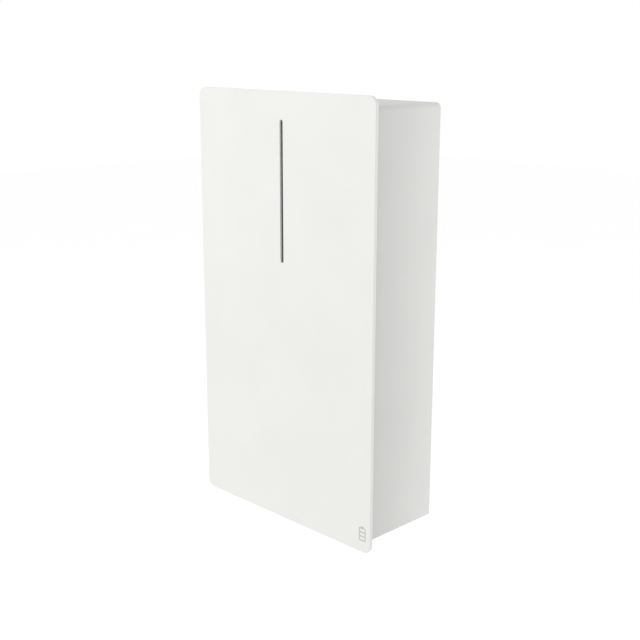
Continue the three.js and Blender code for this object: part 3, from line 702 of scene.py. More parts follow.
def cover_panel():
    """The cover: a thin face with a turned rim, the slot's collar and the emblem's recess."""
    low, high = mm_box("front_cover")
    front, back = low.y, high.y
    inside = front + COVER_FACE
    collar = front + SLOT_RECESS

    def outline(inset):
        ends = (low.x + inset, high.x - inset, low.z + inset, high.z - inset)
        return rounded(*ends, COVER_RADIUS - inset, steps=14)

    bm = bmesh.new()
    edge = [(inset, front + depth) for inset, depth in fillet(COVER_EDGE, 5)]
    edge += [(inset, back - depth) for inset, depth in reversed(fillet(0.5))]
    edge += [(COVER_RIM - 0.3, back), (COVER_RIM, back - 0.3), (COVER_RIM, inside + 1)]
    edge += [(COVER_RIM + 0.3, inside + 0.3), (COVER_RIM + 1, inside)]
    rim = sweep(bm, outline, edge)

    wall = [(grow, front + depth) for grow, depth in fillet(0.35)]
    wall += [(0, collar - 0.2), (0.2, collar), (SLOT_COLLAR - 0.4, collar)]
    wall += [(SLOT_COLLAR, collar - 0.4), (SLOT_COLLAR, inside + 0.6), (SLOT_COLLAR + 0.6, inside)]
    slot = sweep(bm, slot_outline, wall)

    groove = [(0.12, front), (0, front + 0.12), (0, front + EMBLEM_DEPTH)]
    sides = sweep(bm, emblem_outline, groove)
    panes = pane_walls(bm, groove)
    for rings in panes:
        fill(bm, rings[0])
    fill(bm, sides[-1], *(rings[-1] for rings in panes))
    fill(bm, rim[0], slot[0], sides[0])
    fill(bm, rim[-1], slot[-1])
    make_piece("cover_panel", bm, "cover_paint", "cover", ["front_cover"])


def cover_ribs():
    """Stiffening ribs moulded on the inside of the cover, clear of the seal and the light."""
    cover_low, _ = mm_box("front_cover")
    seal_low, seal_high = mm_box("cover_seal")
    base = cover_low.y + COVER_FACE - 0.4
    top = cover_low.y + COVER_FACE + 1.9
    margin = 24
    light_bottom, light_left, light_right = 60, -26, 28
    bm = bmesh.new()
    x0, x1 = seal_low.x + margin, seal_high.x - margin
    z0, z1 = seal_low.z + margin, seal_high.z - margin
    columns = [x0, x0 * 0.5, x1 * 0.5, x1]
    for x in columns:
        box(bm, x - 0.9, x + 0.9, base, top, z0, z1, 0.4)
    for z in [z0 + (z1 - z0) * step / 6 for step in range(7)]:
        for left, right in zip(columns, columns[1:]):
            spans = [(left, right)]
            if left < 0 < right and z > light_bottom:
                spans = [(left, light_left), (light_right, right)]
            for a, b in spans:
                box(bm, a, b, base, top - 0.4, z - 0.9, z + 0.9, 0.35)
    make_piece("cover_ribs", bm, "cover_paint", "cover")


def emblem_inlay():
    """The inlay that fills the emblem's recess, a hair clear of its walls."""
    low, high = mm_box("emblem")
    bm = bmesh.new()
    levels = [(-0.25, low.y), (-0.15, low.y + 0.1), (-0.15, high.y)]
    sides = sweep(bm, emblem_outline, levels)
    panes = pane_walls(bm, levels)
    for end in (0, -1):
        fill(bm, sides[end], *(rings[end] for rings in panes))
    make_piece("emblem_inlay", bm, "grey_plastic", "cover", ["emblem"])


BODY_RADIUS = 12
BODY_BOTTOM_RADIUS = 1.5


def body_outline(inset, steps=12):
    low, high = mm_box("enclosure_shell")
    top = BODY_RADIUS - min(inset, 10)
    bottom = max(BODY_BOTTOM_RADIUS - inset, 0.3)
    ends = (low.x + inset, high.x - inset, low.z + inset, high.z - inset)
    return rounded(*ends, top, bottom, steps)


def seal_strip():
    """A D-shaped foam strip stuck to the cover, its round side towards the body."""
    low, high = mm_box("cover_seal")
    bm = bmesh.new()
    start, width = -1.5, 4.1
    half = width / 2
    bulge = high.y - half
    section = [(start, low.y), (start, bulge)]
    for step in range(1, 8):
        angle = math.pi * step / 8
        section.append((start + half - half * math.cos(angle), bulge + half * math.sin(angle)))
    section += [(start + width, bulge), (start + width, low.y)]
    sweep(bm, body_outline, section, closed=True)
    make_piece("seal_strip", bm, "foam", "cover", ["cover_seal"])


def clip_finger(bm, profile, start, sweep_angle, place):
    """One springy finger: a profile turned through part of a circle."""
    part = bmesh.new()
    rows = []
    for step in range(9):
        angle = start + sweep_angle * step / 8
        points = [(r * math.cos(angle), r * math.sin(angle), h) for r, h in profile]
        rows.append(ring(part, points))
    chain(part, rows)
    cap(part, rows)
    add(bm, part, place)


def cover_clips():
    """A socket of four springy fingers round each stud, on a round foot."""
    gap = 0.16
    for node in at_corners("cover_clip"):
        low, high = mm_box(node)
        middle = mm_centre(node)
        outer = (high.x - low.x) / 2
        length = high.y - low.y
        place = facing_wall(middle.x, low.y, middle.z)
        bm = bmesh.new()
        lathe(bm, [(0, 0), (outer, 0), (outer, 1.1), (outer - 0.4, 1.5), (0, 1.5)], 36, place)
        profile = [(outer, 1), (outer, length - 0.6), (outer - 0.5, length)]
        profile += [(outer - 1.0, length), (outer - 1.3, length - 0.6), (outer - 1.5, 1)]
        for finger in range(4):
            start = finger * math.pi / 2 + gap
            clip_finger(bm, profile, start, math.pi / 2 - 2 * gap, place)
        make_piece(node + "_moulded", bm, "black_plastic", "cover", [node])


# ------------------------------------------------------------------ enclosure
SHEET = 2
FLANGE_SETBACK = 3.3
FLANGE_WIDTH = 26


def casing():
    """The painted sheet body with its front flange. Behind the flange its underside is open."""
    low, high = mm_box("enclosure_shell")
    front, back = low.y, high.y
    flange = front + FLANGE_SETBACK
    behind = flange + SHEET
    edge = SHEET + FLANGE_WIDTH
    bm = bmesh.new()
    lip = [(SHEET, behind), (edge, behind), (edge, flange + 0.4), (edge - 0.4, flange)]
    lip += [(SHEET + 0.9, flange), (SHEET + 0.3, flange - 0.2), (SHEET, flange - 0.8)]
    lip += [(SHEET, front + 0.2), (SHEET - 0.2, front)]
    lip += [(inset, front + depth) for inset, depth in fillet(0.9)]
    lip.append((0, behind))
    front_rings = sweep(bm, body_outline, lip)
    wall = [(inset, back - depth) for inset, depth in reversed(fillet(0.9))]
    wall += [(SHEET - 0.2, back), (SHEET, back - 0.2)]
    rear_rings = [ring(bm, at_y(body_outline(inset), y)) for inset, y in wall]
    rear_rings = [front_rings[-1]] + rear_rings + [front_rings[0]]
    for first, second in zip(rear_rings, rear_rings[1:]):
        bridge(bm, first, second, len(first) - 1)
    bm.faces.new([points[0] for points in rear_rings])
    bm.faces.new([points[-1] for points in rear_rings])
    outer, inner = rear_rings[0], rear_rings[-1]
    bm.faces.new((outer[-1], outer[0], inner[0], inner[-1]))
    make_piece("casing", bm, "body_paint", "unit", ["enclosure_shell"])


def bead(bm, outline, face, rise, slope=1.6):
    """A pressed rib: a sloping wall round a raised flat. Returns its ring on the face."""
    section = [(slope, face), (slope * 0.55, face + rise * 0.12)]
    section += [(slope * 0.3, face + rise * 0.88), (0, face + rise)]
    rings = sweep(bm, outline, section)
    fill(bm, rings[-1])
    return rings[0]


def plain_hole(bm, outline, front, back, edge=0.2):
    """A hole's wall between two faces. Returns its rings on the front and back faces."""
    section = [(edge, front), (0, front + edge), (0, back - edge), (edge, back)]
    rings = sweep(bm, outline, section)
    return rings[0], rings[-1]


def rear_sheet():
    """The sheet that closes the back, with four pressed ribs across it."""
    low, high = mm_box("rear_panel")
    face = low.y + SHEET
    bm = bmesh.new()
    edge = [(0.3, low.y), (0, low.y + 0.3), (0, face - 0.3), (0.3, face)]
    rim = sweep(bm, lambda inset: body_outline(SHEET + 0.4 + inset), edge)
    feet = []
    for z in (-330, -60, 120, 360):
        outline = lambda grow, z=z: level_slot(0, 215 + grow, z, 7 + grow)
        feet.append(bead(bm, outline, face, high.y - face, 2))
    fill(bm, rim[-1], *feet)
    fill(bm, rim[0])
    make_piece("rear_sheet", bm, "body_paint", "unit", ["rear_panel"])


def rear_seam():
    """The bead of sealant in the corner between the rear sheet and the casing."""
    face = mm_box("rear_panel")[0].y + SHEET
    bm = bmesh.new()
    section = [(SHEET + 0.05, face - 0.5), (SHEET + 0.05, face + 1.8), (SHEET + 0.5, face + 1.1)]
    section += [(SHEET + 1.1, face + 0.5), (SHEET + 1.9, face + 0.05), (SHEET + 0.5, face - 0.5)]
    sweep(bm, body_outline, section, closed=True)
    make_piece("rear_seam", bm, "grey_plastic")


def rear_fixings():
    """Pan-head screws through the rear sheet into the pieces mounted inside it."""
    face = mm_box("rear_panel")[0].y + SHEET
    pair, three = (-226, 226), (-226, 0, 226)
    rows = {-425: pair, -283: pair, -225: three, 70: three, 118: pair, 426: three}
    head = [(0, 0), (4.6, 0), (4.6, 0.7), (4.1, 1.6), (3.0, 2.3), (1.7, 2.5), (1.5, 1.3), (0, 1.2)]
    bm = bmesh.new()
    for z, columns in rows.items():
        for x in columns:
            lathe(bm, head, 24, facing_wall(x, face - 0.2, z))
    make_piece("rear_fixings", bm, "fastener_steel")


PANEL_BEADS = (-190, -105, 105, 190)
PANEL_SCREW_X = 248
PANEL_SCREW_HEIGHTS = (-225, 102.5, 430)


def inner_front_panel():
    """The zinc sheet over the cells, with pressed ribs and a slot for the light."""
    low, high = mm_box("front_panel")
    front = high.y - SHEET
    lens_low, lens_high = mm_box("light_lens")
    middle = (lens_low.x + lens_high.x) / 2
    z0, z1 = lens_low.z + 15, lens_high.z - 15
    bm = bmesh.new()

    def outline(inset):
        ends = (low.x + inset, high.x - inset, low.z + inset, high.z - inset)
        return rounded(*ends, 8 - inset, 2 - inset, 6)

    edge = [(0.3, front), (0, front + 0.3), (0, high.y - 0.3), (0.3, high.y)]
    rim = sweep(bm, outline, edge)
    feet = []
    for x in PANEL_BEADS:
        shape = lambda grow, x=x: stadium(x, 4.4 + grow, -203.4 - grow, 403.4 + grow, 6)
        feet.append(bead(bm, shape, front, low.y - front))
    slot = lambda grow: stadium(middle, 4.2 + grow, z0 - grow, z1 + grow, 6)
    slot_front, slot_back = plain_hole(bm, slot, front, high.y)
    fill(bm, rim[0], slot_front, *feet)
    fill(bm, rim[-1], slot_back)
    make_piece("inner_front_panel", bm, "zinc_steel", "unit", ["front_panel"])


def button_screw(bm, place, head=4.5):
    """A button head with a hexagon socket, its top at negative heights."""
    sides = 36
    part = bmesh.new()
    across = 2.9

    def socket(grow):
        return polar(lambda angle: hexagon_radius(across + grow, angle), sides)

    dome = [(head - 0.2, 0), (head, -0.3), (head - 0.35, -1.1)]
    dome += [(head - 1.0, -1.9), (head - 2.0, -2.45), (head - 2.5, -2.55)]
    rings = [ring(part, at_z(circle(radius, sides), height)) for radius, height in dome]
    rings += [ring(part, at_z(socket(grow), z)) for grow, z in ((0.3, -2.55), (0, -2.4), (0, -1.1))]
    chain(part, rings)
    cap(part, rings)
    add(bm, part, place)


def panel_screws():
    """The button-head screws and washers down both sides of the inner panel."""
    front = mm_box("front_panel")[1].y - SHEET
    names = ("lower", "middle", "upper")
    washer = [(2.6, 0), (6.0, 0), (6.1, 0.15), (6.0, 0.5), (2.6, 0.5), (2.6, 0)]
    for side, hand in ((-1, "left"), (1, "right")):
        for level, z in zip(names, PANEL_SCREW_HEIGHTS):
            bm = bmesh.new()
            place = facing_wall(side * PANEL_SCREW_X, front - 0.5, z)
            button_screw(bm, place)
            lathe(bm, washer, 32, place)
            node = f"panel_screw_{level}_{hand}"
            replaced = [node] if node in frame["nodes"] else []
            make_piece(f"panel_bolt_{level}_{hand}", bm, "fastener_steel", "unit", replaced)


def ball_studs():
    """The ball studs that the cover's clips push on to, each on a hexagon foot."""
    ball = 4.0
    for node in at_corners("cover_stud"):
        low, high = mm_box(node)
        middle = mm_centre(node)
        length = high.y - low.y
        bm = bmesh.new()
        place = facing_wall(middle.x, high.y, middle.z)
        hex_ring(bm, 10.2, -1.8, 0, 0, place)
        profile = [(0, -1.6), (2.7, -1.6), (2.6, -3.3)]
        for step in range(1, 8):
            angle = math.radians(-50 + 140 * step / 8)
            profile.append((ball * math.cos(angle), -length + 1.9 - 1.9 * math.sin(angle)))
        lathe(bm, profile + [(0, -length)], 28, place)
        make_piece(node + "_turned", bm, "fastener_steel", "unit", [node])


def status_light():
    """The smoked bar behind the cover's slot, with a bezel step round its face."""
    low, high = mm_box("light_lens")
    middle = (low.x + high.x) / 2
    half = (high.x - low.x) / 2
    shoulder = mm_box("front_panel")[1].y - SHEET - 0.3
    bm = bmesh.new()
    levels = [(3.4, low.y + 0.35), (3.0, low.y), (0.5, low.y), (0.12, low.y + 0.15), (0, low.y + 0.5)]
    levels += [(0, shoulder), (half - 3.6, shoulder), (half - 3.6, high.y)]

    def outline(inset):
        return stadium(middle, half - inset, low.z + inset, high.z - inset)

    rings = sweep(bm, outline, levels)
    fill(bm, rings[0])
    fill(bm, rings[-1])
    make_piece("status_light", bm, "lens", "unit", ["light_lens"])


def hooks():
    for node in at_corners("hang_hook"):
        refined(node, "zinc_steel", 0.45)


def floor_faces():
    """Heights just under and just over the enclosure's floor."""
    low, _ = mm_box("enclosure_shell")
    return low.z - 0.3, low.z + SHEET + 0.3


def lock_bolts():
    """A hexagon bolt with a washer from below and a nut on the bracket's lip."""
    seat, _ = floor_faces()
    nut = mm_box("wall_bracket")[0].z + 2.8
    base = seat - 1.2
    washer = [(3.8, base), (7.4, base), (7.5, seat - 0.6), (7.4, seat), (3.8, seat)]
    for hand in HANDS:
        node = f"lock_bolt_{hand}"
        low, high = mm_box(node)
        place = upright(node)
        bm = bmesh.new()
        hex_ring(bm, 11.2, low.z, base, 0, place)
        lathe(bm, washer, 36, place)
        shank = [(0, seat - 2), (3.7, seat - 2)] + thread(3.7, seat - 1, high.z - 0.6, 1.25, 0.4)
        lathe(bm, shank + [(2.9, high.z), (0, high.z)], 28, place)
        hex_ring(bm, 11, nut, nut + 5, 3.4, place)
        make_piece(node + "_cut", bm, "fastener_steel", "unit", [node])


# ------------------------------------------------------------------ pieces in the floor
def gland_dome(bore, radius, bottom, seat):
    """(radius, height) pairs round the dome nut, from its mouth and back."""
    base, swell = radius * 0.72, radius * 0.2
    dome = [(bore + 0.6, bottom + 1.2), (bore + 1.2, bottom), (base, bottom)]
    for step in range(1, 7):
        angle = math.pi / 2 * step / 6
        height = bottom + (seat - 18 - bottom) * (1 - math.cos(angle))
        dome.append((base + swell * math.sin(angle), height))
    dome += [(radius * 0.9, seat - 10), (radius * 0.82, seat - 9.2), (radius * 0.82, seat - 7)]
    return dome + [(bore, seat - 7), (bore, bottom + 3), (bore + 0.6, bottom + 1.2)]


def cable_gland(node, bore):
    """Dome nut over a hexagon body, with a thread and a lock nut inside the floor."""
    low, high = mm_box(node)
    across = high.x - low.x
    seat, floor = floor_faces()
    radius = across / 2
    place = upright(node)
    bm = bmesh.new()
    for bottom, top in ((seat - 8, seat - 1.5), (seat - 19, seat - 9.4), (floor, floor + 5)):
        hex_ring(bm, across, bottom, top, bore, place)
    lathe(bm, gland_dome(bore, radius, low.z, seat), 48, place)
    neck = [(bore, seat - 3), (radius * 0.8, seat - 3), (radius * 0.8, seat - 1)]
    neck += thread(radius * 0.8, seat - 0.8, high.z, 1.5, 0.7)
    lathe(bm, neck + [(bore, high.z), (bore, seat - 3)], 40, place)
    make_piece(node + "_moulded", bm, "black_plastic", "unit", [node])
    gland_seals(node, bore, radius, low.z, seat, place)


def gland_seals(node, bore, radius, bottom, seat, place):
    """The round seal in the gland's mouth and the flat one under the floor."""
    bm = bmesh.new()
    seal = []
    for step in range(11):
        angle = step * math.tau / 10
        seal.append((bore - 0.1 + 0.5 * math.cos(angle), bottom + 2.2 + 1.3 * math.sin(angle)))
    lathe(bm, seal, 40, place)
    inner, outer = radius * 0.84, radius * 0.98
    washer = [(inner, seat - 1.5), (outer, seat - 1.5), (radius, seat - 0.8)]
    washer += [(outer, seat), (inner, seat), (inner, seat - 1.5)]
    lathe(bm, washer, 40, place)
    make_piece(node + "_seals", bm, "foam")


def breather_vent():
    """A round cap with air grooves round its side, over a thread with a nut inside."""
    low, high = mm_box("breather_vent")
    seat, floor = floor_faces()
    outer = (high.x - low.x) / 2
    place = upright("breather_vent")
    bm = bmesh.new()
    part = bmesh.new()
    sides = 96

    def level(radius, height, cut=0.0):
        points = []
        for i in range(sides):
            angle = i * math.tau / sides
            reach = radius - (cut if i % 12 in (0, 1, 2) else 0.0)
            points.append((reach * math.cos(angle), reach * math.sin(angle), height))
        return ring(part, points)

    rings = [level(outer - 2.6, low.z), level(outer - 1.0, low.z + 0.3)]
    rings += [level(outer - 0.2, low.z + 1.1), level(outer, low.z + 1.6, 1.4)]
    rings += [level(outer, seat - 1.6, 1.4), level(outer, seat - 1.2)]
    rings += [level(outer, seat - 0.2), level(outer - 0.2, seat)]
    chain(part, rings)
    cap(part, rings)
    add(bm, part, place)
    stem = [(0, seat - 0.5), (5.6, seat - 0.5)] + thread(5.6, seat, high.z, 1.5, 0.5)
    lathe(bm, stem + [(0, high.z)], 36, place)
    hex_ring(bm, 16, floor, floor + 3.6, 5.2, place)
    make_piece("breather_vent_moulded", bm, "black_plastic", "unit", ["breather_vent"])


def earth_stud():
    """A brass stud through the floor, with washers and a nut on each side."""
    low, high = mm_box("earth_stud")
    seat, floor = floor_faces()
    place = upright("earth_stud")
    bm = bmesh.new()
    shank = [(0, low.z), (2.6, low.z)] + thread(3.3, low.z + 0.6, high.z - 0.5, 1.0, 0.35)
    lathe(bm, shank + [(2.6, high.z), (0, high.z)], 28, place)
    for bottom, top, outer in ((seat - 1.2, seat, 8.2), (seat - 2.4, seat - 1.3, 7.4)):
        washer = [(3.4, bottom), (outer - 0.2, bottom), (outer, bottom + 0.3), (outer, top - 0.2)]
        lathe(bm, washer + [(outer - 0.2, top), (3.4, top), (3.4, bottom)], 36, place)
    hex_ring(bm, 11.4, seat - 7, seat - 2.5, 3.1, place)
    hex_ring(bm, 11.4, floor, floor + 4, 3.1, place)
    make_piece("earth_stud_turned", bm, "brass", "unit", ["earth_stud"])


# ------------------------------------------------------------------ wiring bay
def divider_and_plate():
    refined("bay_divider", "body_paint", 0.35)
    refined("gear_plate", "zinc_steel", 0.35)


def terminal_block():
    """The terminal block, with a clamp in the mouth of each pole."""
    refined("ac_terminal_block", "grey_plastic", 0.5)
    low, high = mm_box("ac_terminal_block")
    depth = (low.y + high.y) / 2 + 3
    clamp = [(0, 10.5), (6.6, 10.5), (6.6, 3), (6.2, 3), (6.2, 10), (0, 10)]
    bm = bmesh.new()
    for side in LEVERS:
        x = mm_centre(f"terminal_lever_{side}").x
        lathe(bm, clamp, 28, Matrix.Translation((x, depth, low.z)))
        box(bm, x - 3.4, x + 3.4, depth - 1, depth + 1, low.z + 3.5, low.z + 10.3, 0.3)
    make_piece("terminal_clamps", bm, "fastener_steel")


def terminal_levers():
    for side in LEVERS:
        refined(f"terminal_lever_{side}", "orange_plastic", 0.55, f"lever_{side}", 3, 24)


def dc_switch():
    """The switch's case, and a bar and a ring that mark its two positions."""
    refined("dc_switch_body", "grey_plastic", 0.6, steps=3)
    face = mm_box("dc_switch_body")[0].y + 1.4
    middle = mm_centre("dc_switch_knob")
    reach = 28.5
    base = middle.z + reach
    bm = bmesh.new()
    box(bm, middle.x - 0.9, middle.x + 0.9, face - 0.5, face + 0.3, base, base + 4, 0.2)
    dot = [(1.1, 0), (1.9, 0), (2.0, 0.2), (2.0, 0.8), (1.1, 0.8), (1.1, 0)]
    lathe(bm, dot, 28, facing_wall(middle.x + reach + 2, face - 0.5, middle.z))
    make_piece("dc_switch_marks", bm, "cover_paint")


def dc_knob():
    """A round skirt with grip notches under a raised bar handle."""
    low, high = mm_box("dc_switch_knob")
    middle = mm_centre("dc_switch_knob")
    radius = (high.x - low.x) / 2
    front = low.y
    base = front + 18.3
    notches = 20
    bm = bmesh.new()

    def placed(points):
        return [(middle.x + x, middle.z + z) for x, z in points]

    def level(size, depth, cut=0.0):
        shape = polar(lambda a: size - cut * max(0.0, math.cos(a * notches)) ** 2, 120)
        return ring(bm, at_y(placed(shape), base - depth))

    rings = [level(radius, 0), level(radius, 0.6), level(radius, 1.2, 0.7)]
    rings += [level(radius, 3.8, 0.7), level(radius - 0.5, 4.6), level(radius - 1.6, 5)]
    rings += [level(radius - 4.6, 5.2), level(radius - 5.4, 6.4), level(radius - 7.0, 7.4)]
    chain(bm, rings)
    cap(bm, rings)
    grip = [(inset, front + depth) for inset, depth in fillet(2.6, 5)]
    grip += [(0, base - 9), (-1.0, base - 6.6), (-1.2, base - 5.6)]

    def handle(inset):
        half, reach = 6.5 - inset, 23 - inset
        return placed(rounded(-half, half, -reach, reach, max(half * 0.92, 1)))

    bars = sweep(bm, handle, grip)
    fill(bm, bars[0])
    fill(bm, bars[-1])
    length = high.y - base + 1
    shaft = facing_wall(middle.x, base - 1, middle.z)
    lathe(bm, [(0, 0), (5, 0), (5, length), (0, length)], 32, shaft)
    make_piece("dc_knob", bm, "black_plastic", "switch_knob", ["dc_switch_knob"])
    mark = bmesh.new()
    top = middle.z + 20.5
    box(mark, middle.x - 0.8, middle.x + 0.8, front - 0.02, front + 0.6, top - 9, top, 0.25)
    make_piece("dc_knob_mark", mark, "cover_paint", "switch_knob")


BOARD_STANDOFF = 7
BOARD_THICK = 1.6
BOARD_JACKS = (12, 32)  # distance of each network socket from the board's left edge
BOARD_PILOT = (64, 76, 24, 36)  # the chip that the small parts keep clear of


def board_corner():
    """The board's lower left corner on its front face."""
    low, high = mm_box("control_board")
    return low.x, high.y - BOARD_STANDOFF - BOARD_THICK, low.z


def on_board(bm, x, z, wide, tall, rise, soft):
    """A box on the board's face, placed from the board's lower left corner."""
    x0, face, z0 = board_corner()
    box(bm, x0 + x, x0 + x + wide, face - rise, face, z0 + z, z0 + z + tall, soft)


def control_circuit():
    low, high = mm_box("control_board")
    face = high.y - BOARD_STANDOFF - BOARD_THICK
    bm = bmesh.new()
    box(bm, low.x, high.x, face, face + BOARD_THICK, low.z, high.z, 0.15, 1)
    make_piece("control_circuit", bm, "circuit_board", "unit", ["control_board"])


def board_standoffs():
    low, high = mm_box("control_board")
    back = high.y - BOARD_STANDOFF
    bm = bmesh.new()
    for x in (low.x + 5, high.x - 5):
        for z in (low.z + 5, high.z - 5):
            hex_ring(bm, 5.5, 0.02, BOARD_STANDOFF, 0, facing_wall(x, back, z))
            button_screw(bm, facing_wall(x, back - BOARD_THICK - 0.02, z), 3.2)
    make_piece("board_standoffs", bm, "brass")


def board_sockets():
    """Two network sockets and the radio's shielding can."""
    bm = bmesh.new()
    for left in BOARD_JACKS:
        on_board(bm, left, 2, 16, 16, 13, 0.4)
    on_board(bm, 60, 48, 32, 36, 3.2, 0.3)
    make_piece("board_sockets", bm, "fastener_steel")


def board_chips():
    """Black blocks for the sockets' mouths, the jacks' black plastic with painted shade for their
    hollows, and the board's chips.
    """
    x0, face, z0 = board_corner()
    bm = bmesh.new()
    # Each socket's mouth is a solid black block in place of its hollow: the black insert plus painted
    # shade.
    for left in BOARD_JACKS:
        x = x0 + left + 2
        box(bm, x, x + 12, face - 11.5, face - 3, z0 + 1.85, z0 + 3, 0.2)
    for column, row in ((66, 26), (14, 74), (28, 74), (100, 60), (100, 80)):
        on_board(bm, column, row, 8, 8, 1.4, 0.15)
    make_piece("board_chips", bm, "black_plastic")


def board_relays():
    bm = bmesh.new()
    for left in (12, 34):
        on_board(bm, left, 36, 16, 30, 9, 0.6)
    on_board(bm, 62, 96, 36, 16, 6, 0.4)
    make_piece("board_relays", bm, "cell_case")


def board_header():
    """A plug-in terminal strip with eight screws."""
    x0, face, z0 = board_corner()
    screw = [(0, 0.6), (1.2, 0.5), (1.3, -0.15), (1.7, -0.2), (1.9, 0.1), (1.9, 0.7)]
    bm = bmesh.new()
    on_board(bm, 12, 98, 40, 14, 11, 0.4)
    on_board(bm, 12, 94, 40, 5, 6, 0.3)
    for pole in range(8):
        lathe(bm, screw, 16, facing_wall(x0 + 14.5 + pole * 5, face - 10.9, z0 + 105))
    make_piece("board_header", bm, "orange_plastic")


def board_small_parts():
    """Scattered chip parts, clear of the button and the chip, and three capacitors."""
    x0, face, z0 = board_corner()
    button = mm_centre("pairing_button")
    left, right, bottom, top = BOARD_PILOT
    seeded = random.Random(11)
    bm = bmesh.new()
    for _ in range(46):
        x = x0 + seeded.uniform(54, 106)
        z = z0 + seeded.uniform(8, 46)
        if math.hypot(x - button.x, z - button.z) < 11:
            continue
        if x0 + left < x < x0 + right and z0 + bottom < z < z0 + top:
            continue
        wide, tall = (1.6, 0.8) if seeded.random() < 0.5 else (0.8, 1.6)
        box(bm, x - wide, x + wide, face - 0.9, face, z - tall, z + tall, 0.15, 1)
    can = [(0, -8.6), (2.6, -8.6), (3.3, -8.9), (3.6, -8.4), (3.6, -1.4)]
    can += [(3.3, -1), (3.6, -0.6), (3.6, 0), (0, 0)]
    for column in (62, 76, 90):
        lathe(bm, can, 24, facing_wall(x0 + column, face, z0 + 88))
    make_piece("board_small_parts", bm, "bare_aluminium")


def button_seat():
    face = board_corner()[1]
    button = mm_centre("pairing_button")
    seat = [(0, -1), (3.6, -1), (3.6, -5), (4.4, -5), (5.4, -4.4), (5.4, 0), (0, 0)]
    bm = bmesh.new()
    lathe(bm, seat, 32, facing_wall(button.x, face, button.z))
    make_piece("button_seat", bm, "black_plastic")


def pairing_button():
    low, high = mm_box("pairing_button")
    middle = mm_centre("pairing_button")
    radius = (high.x - low.x) / 2
    bm = bmesh.new()
    profile = [(0, low.y), (radius * 0.6, low.y + 0.12), (radius * 0.88, low.y + 0.4)]
    profile += [(radius, low.y + 0.9), (radius, high.y), (0, high.y)]
    lathe(bm, profile, 32, facing_wall(middle.x, 0, middle.z))
    make_piece("pairing_button_cap", bm, "orange_plastic", "button", ["pairing_button"])


# ------------------------------------------------------------------ cables in the bay
def smooth_path(points, per_span=10):
    """Points along a centripetal curve through the given points."""
    extended = [2 * Vector(points[0]) - Vector(points[1])]
    extended += [Vector(point) for point in points]
    extended.append(2 * Vector(points[-1]) - Vector(points[-2]))
    path = []
    for p0, p1, p2, p3 in zip(extended, extended[1:], extended[2:], extended[3:]):
        t0 = 0.0
        t1 = t0 + (p1 - p0).length ** 0.5
        t2 = t1 + (p2 - p1).length ** 0.5
        t3 = t2 + (p3 - p2).length ** 0.5
        for step in range(per_span):
            t = t1 + (t2 - t1) * step / per_span
            a1 = p0 * ((t1 - t) / (t1 - t0)) + p1 * ((t - t0) / (t1 - t0))
            a2 = p1 * ((t2 - t) / (t2 - t1)) + p2 * ((t - t1) / (t2 - t1))
            a3 = p2 * ((t3 - t) / (t3 - t2)) + p3 * ((t - t2) / (t3 - t2))
            b1 = a1 * ((t2 - t) / (t2 - t0)) + a2 * ((t - t0) / (t2 - t0))
            b2 = a2 * ((t3 - t) / (t3 - t1)) + a3 * ((t - t1) / (t3 - t1))
            path.append(b1 * ((t2 - t) / (t2 - t1)) + b2 * ((t - t1) / (t2 - t1)))
    path.append(extended[-2])
    return path


def tube(bm, path, radius, sides=18):
    """A closed tube along a path, its section carried along without twisting."""
    direction = (path[1] - path[0]).normalized()
    side = direction.orthogonal().normalized()
    rings = []
    for index, point in enumerate(path):
        before = path[max(index - 1, 0)]
        after = path[min(index + 1, len(path) - 1)]
        direction = (after - before).normalized()
        side = (side - direction * side.dot(direction)).normalized()
        other = direction.cross(side)
        section = circle(radius, sides)
        rings.append(ring(bm, [point + side * across + other * up for across, up in section]))
    chain(bm, rings)
    cap(bm, rings)


AC_X, AC_Y = -252, -82
DC_Y = -84
DC_COLUMNS = (244.5, 257.5)
COMMS_Y = -68
AC_RADIUS, DC_RADIUS, COMMS_RADIUS = 6, 4.2, 2.4


def ac_route():
    """From the top of the terminal block, up the left side to the power modules."""
    low, high = mm_box("ac_terminal_block")
    start = (low.x + high.x) / 2
    top = high.z + 0.3
    bends = [(start, top), (start, top + 16), (start - 12, top + 32), (start - 40, top + 42)]
    bends += [(AC_X + 34, top + 52), (AC_X + 8, top + 66), (AC_X, top + 90)]
    bends += [(AC_X, z) for z in (-160, 0, 150, 262)]
    return at_y(bends, AC_Y) + [(AC_X + 6, AC_Y + 6, 280), (AC_X + 27, AC_Y + 10, 286)]


def dc_route(side, column):
    """From the top of the switch, up the right side to the fuse and the contactor."""
    low, high = mm_box("dc_switch_body")
    start = (low.x + high.x) / 2 + side * 13
    top = high.z + 0.3
    level = top + (46 if side < 0 else 30)
    bends = [(start, top), (start, level - 18), (start + 10, level - 4), (start + 26, level)]
    bends += [(column - 22, level), (column - 6, level + 7), (column, level + 24)]
    bends += [(column, z) for z in (-200, 0, 200, 340)]
    bends += [(column - 2, 366), (column - (4 if side < 0 else 6), 384)]
    return at_y(bends, DC_Y)


def comms_route():
    """From the top of the control board, up the left side to the management board."""
    low, high = mm_box("control_board")
    start = (low.x + high.x) / 2 - 30
    depth = board_corner()[1] - 5
    top = high.z
    route = [(start, depth, top + 0.3), (start, depth, top + 5), (start - 12, depth, top + 12)]
    route += [(start - 60, depth + 3, top + 12), (-210, depth + 6, top + 12)]
    bends = [(AC_X + 16, top + 13), (AC_X + 3, top + 20), (AC_X, top + 32)]
    bends += [(AC_X, z) for z in (-200, 0, 200, 360)]
    route += at_y(bends, COMMS_Y)
    return route + [(AC_X + 6, COMMS_Y + 6, 384), (AC_X + 20, COMMS_Y + 13, 392)]


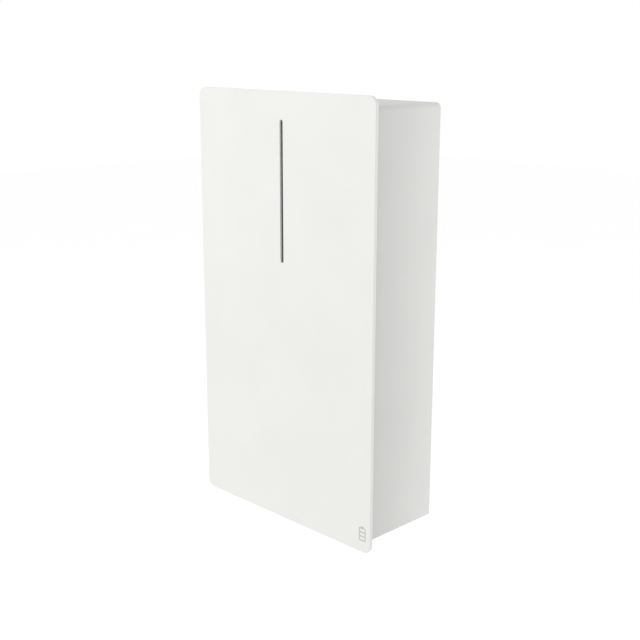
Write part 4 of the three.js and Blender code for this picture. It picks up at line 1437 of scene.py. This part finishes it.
def cables():
    routes = {
        "ac_trunk_cable": (ac_route(), AC_RADIUS, "grey_jacket"),
        "dc_cable_positive": (dc_route(-1, DC_COLUMNS[0]), DC_RADIUS, "red_jacket"),
        "dc_cable_negative": (dc_route(1, DC_COLUMNS[1]), DC_RADIUS, "black_jacket"),
        "comms_cable": (comms_route(), COMMS_RADIUS, "black_jacket"),
    }
    for node, (points, radius, slot) in routes.items():
        bm = bmesh.new()
        tube(bm, smooth_path(points), radius)
        make_piece(node + "_jacket", bm, slot, "unit", [node])


def grommets():
    """A rubber ring in each of the divider's cable holes."""
    plate = mm_box("bay_divider")[0].z + 1
    spots = [(AC_X, AC_Y, AC_RADIUS), (AC_X, COMMS_Y, COMMS_RADIUS)]
    spots += [(x, DC_Y, DC_RADIUS) for x in DC_COLUMNS]
    for index, (x, y, radius) in enumerate(spots):
        bm = bmesh.new()
        inner, outer = radius + 0.15, radius + 2.4
        waist = radius + (1.4 if radius == AC_RADIUS else 1.1)
        half = [(waist, 1.1), (outer - 0.3, 1.2), (outer, 2.1), (outer - 0.4, 2.6), (inner, 2.6)]
        mirrored = [(r, -height) for r, height in reversed(half)]
        lathe(bm, mirrored + half + mirrored[:1], 32, Matrix.Translation((x, y, plate)))
        make_piece(f"grommet_{index + 1}", bm, "foam")


# ------------------------------------------------------------------ pieces kept as they are
def paint_hidden_nodes():
    """The sealed inner pieces keep their CAD meshes and take their slots' materials."""
    slots = {entry["node"]: entry["material_slot"] for entry in frame["record"]["subparts"]}
    for name, node in frame["nodes"].items():
        node.data.materials.clear()
        node.data.materials.append(MATERIALS[slots[name]])


make_camera()
make_stage()
paint_hidden_nodes()
cover_panel()
cover_ribs()
emblem_inlay()
seal_strip()
cover_clips()
casing()
refined("enclosure_floor", "body_paint", 0.3)
rear_sheet()
rear_seam()
rear_fixings()
refined("wall_bracket", "zinc_steel", 0.4)
hooks()
lock_bolts()
inner_front_panel()
panel_screws()
ball_studs()
status_light()
cable_gland("ac_cable_gland", 10)
cable_gland("comms_cable_gland", 5)
breather_vent()
earth_stud()
divider_and_plate()
terminal_block()
terminal_levers()
dc_switch()
dc_knob()
control_circuit()
board_standoffs()
board_sockets()
board_chips()
board_relays()
board_header()
board_small_parts()
button_seat()
pairing_button()
cables()
grommets()
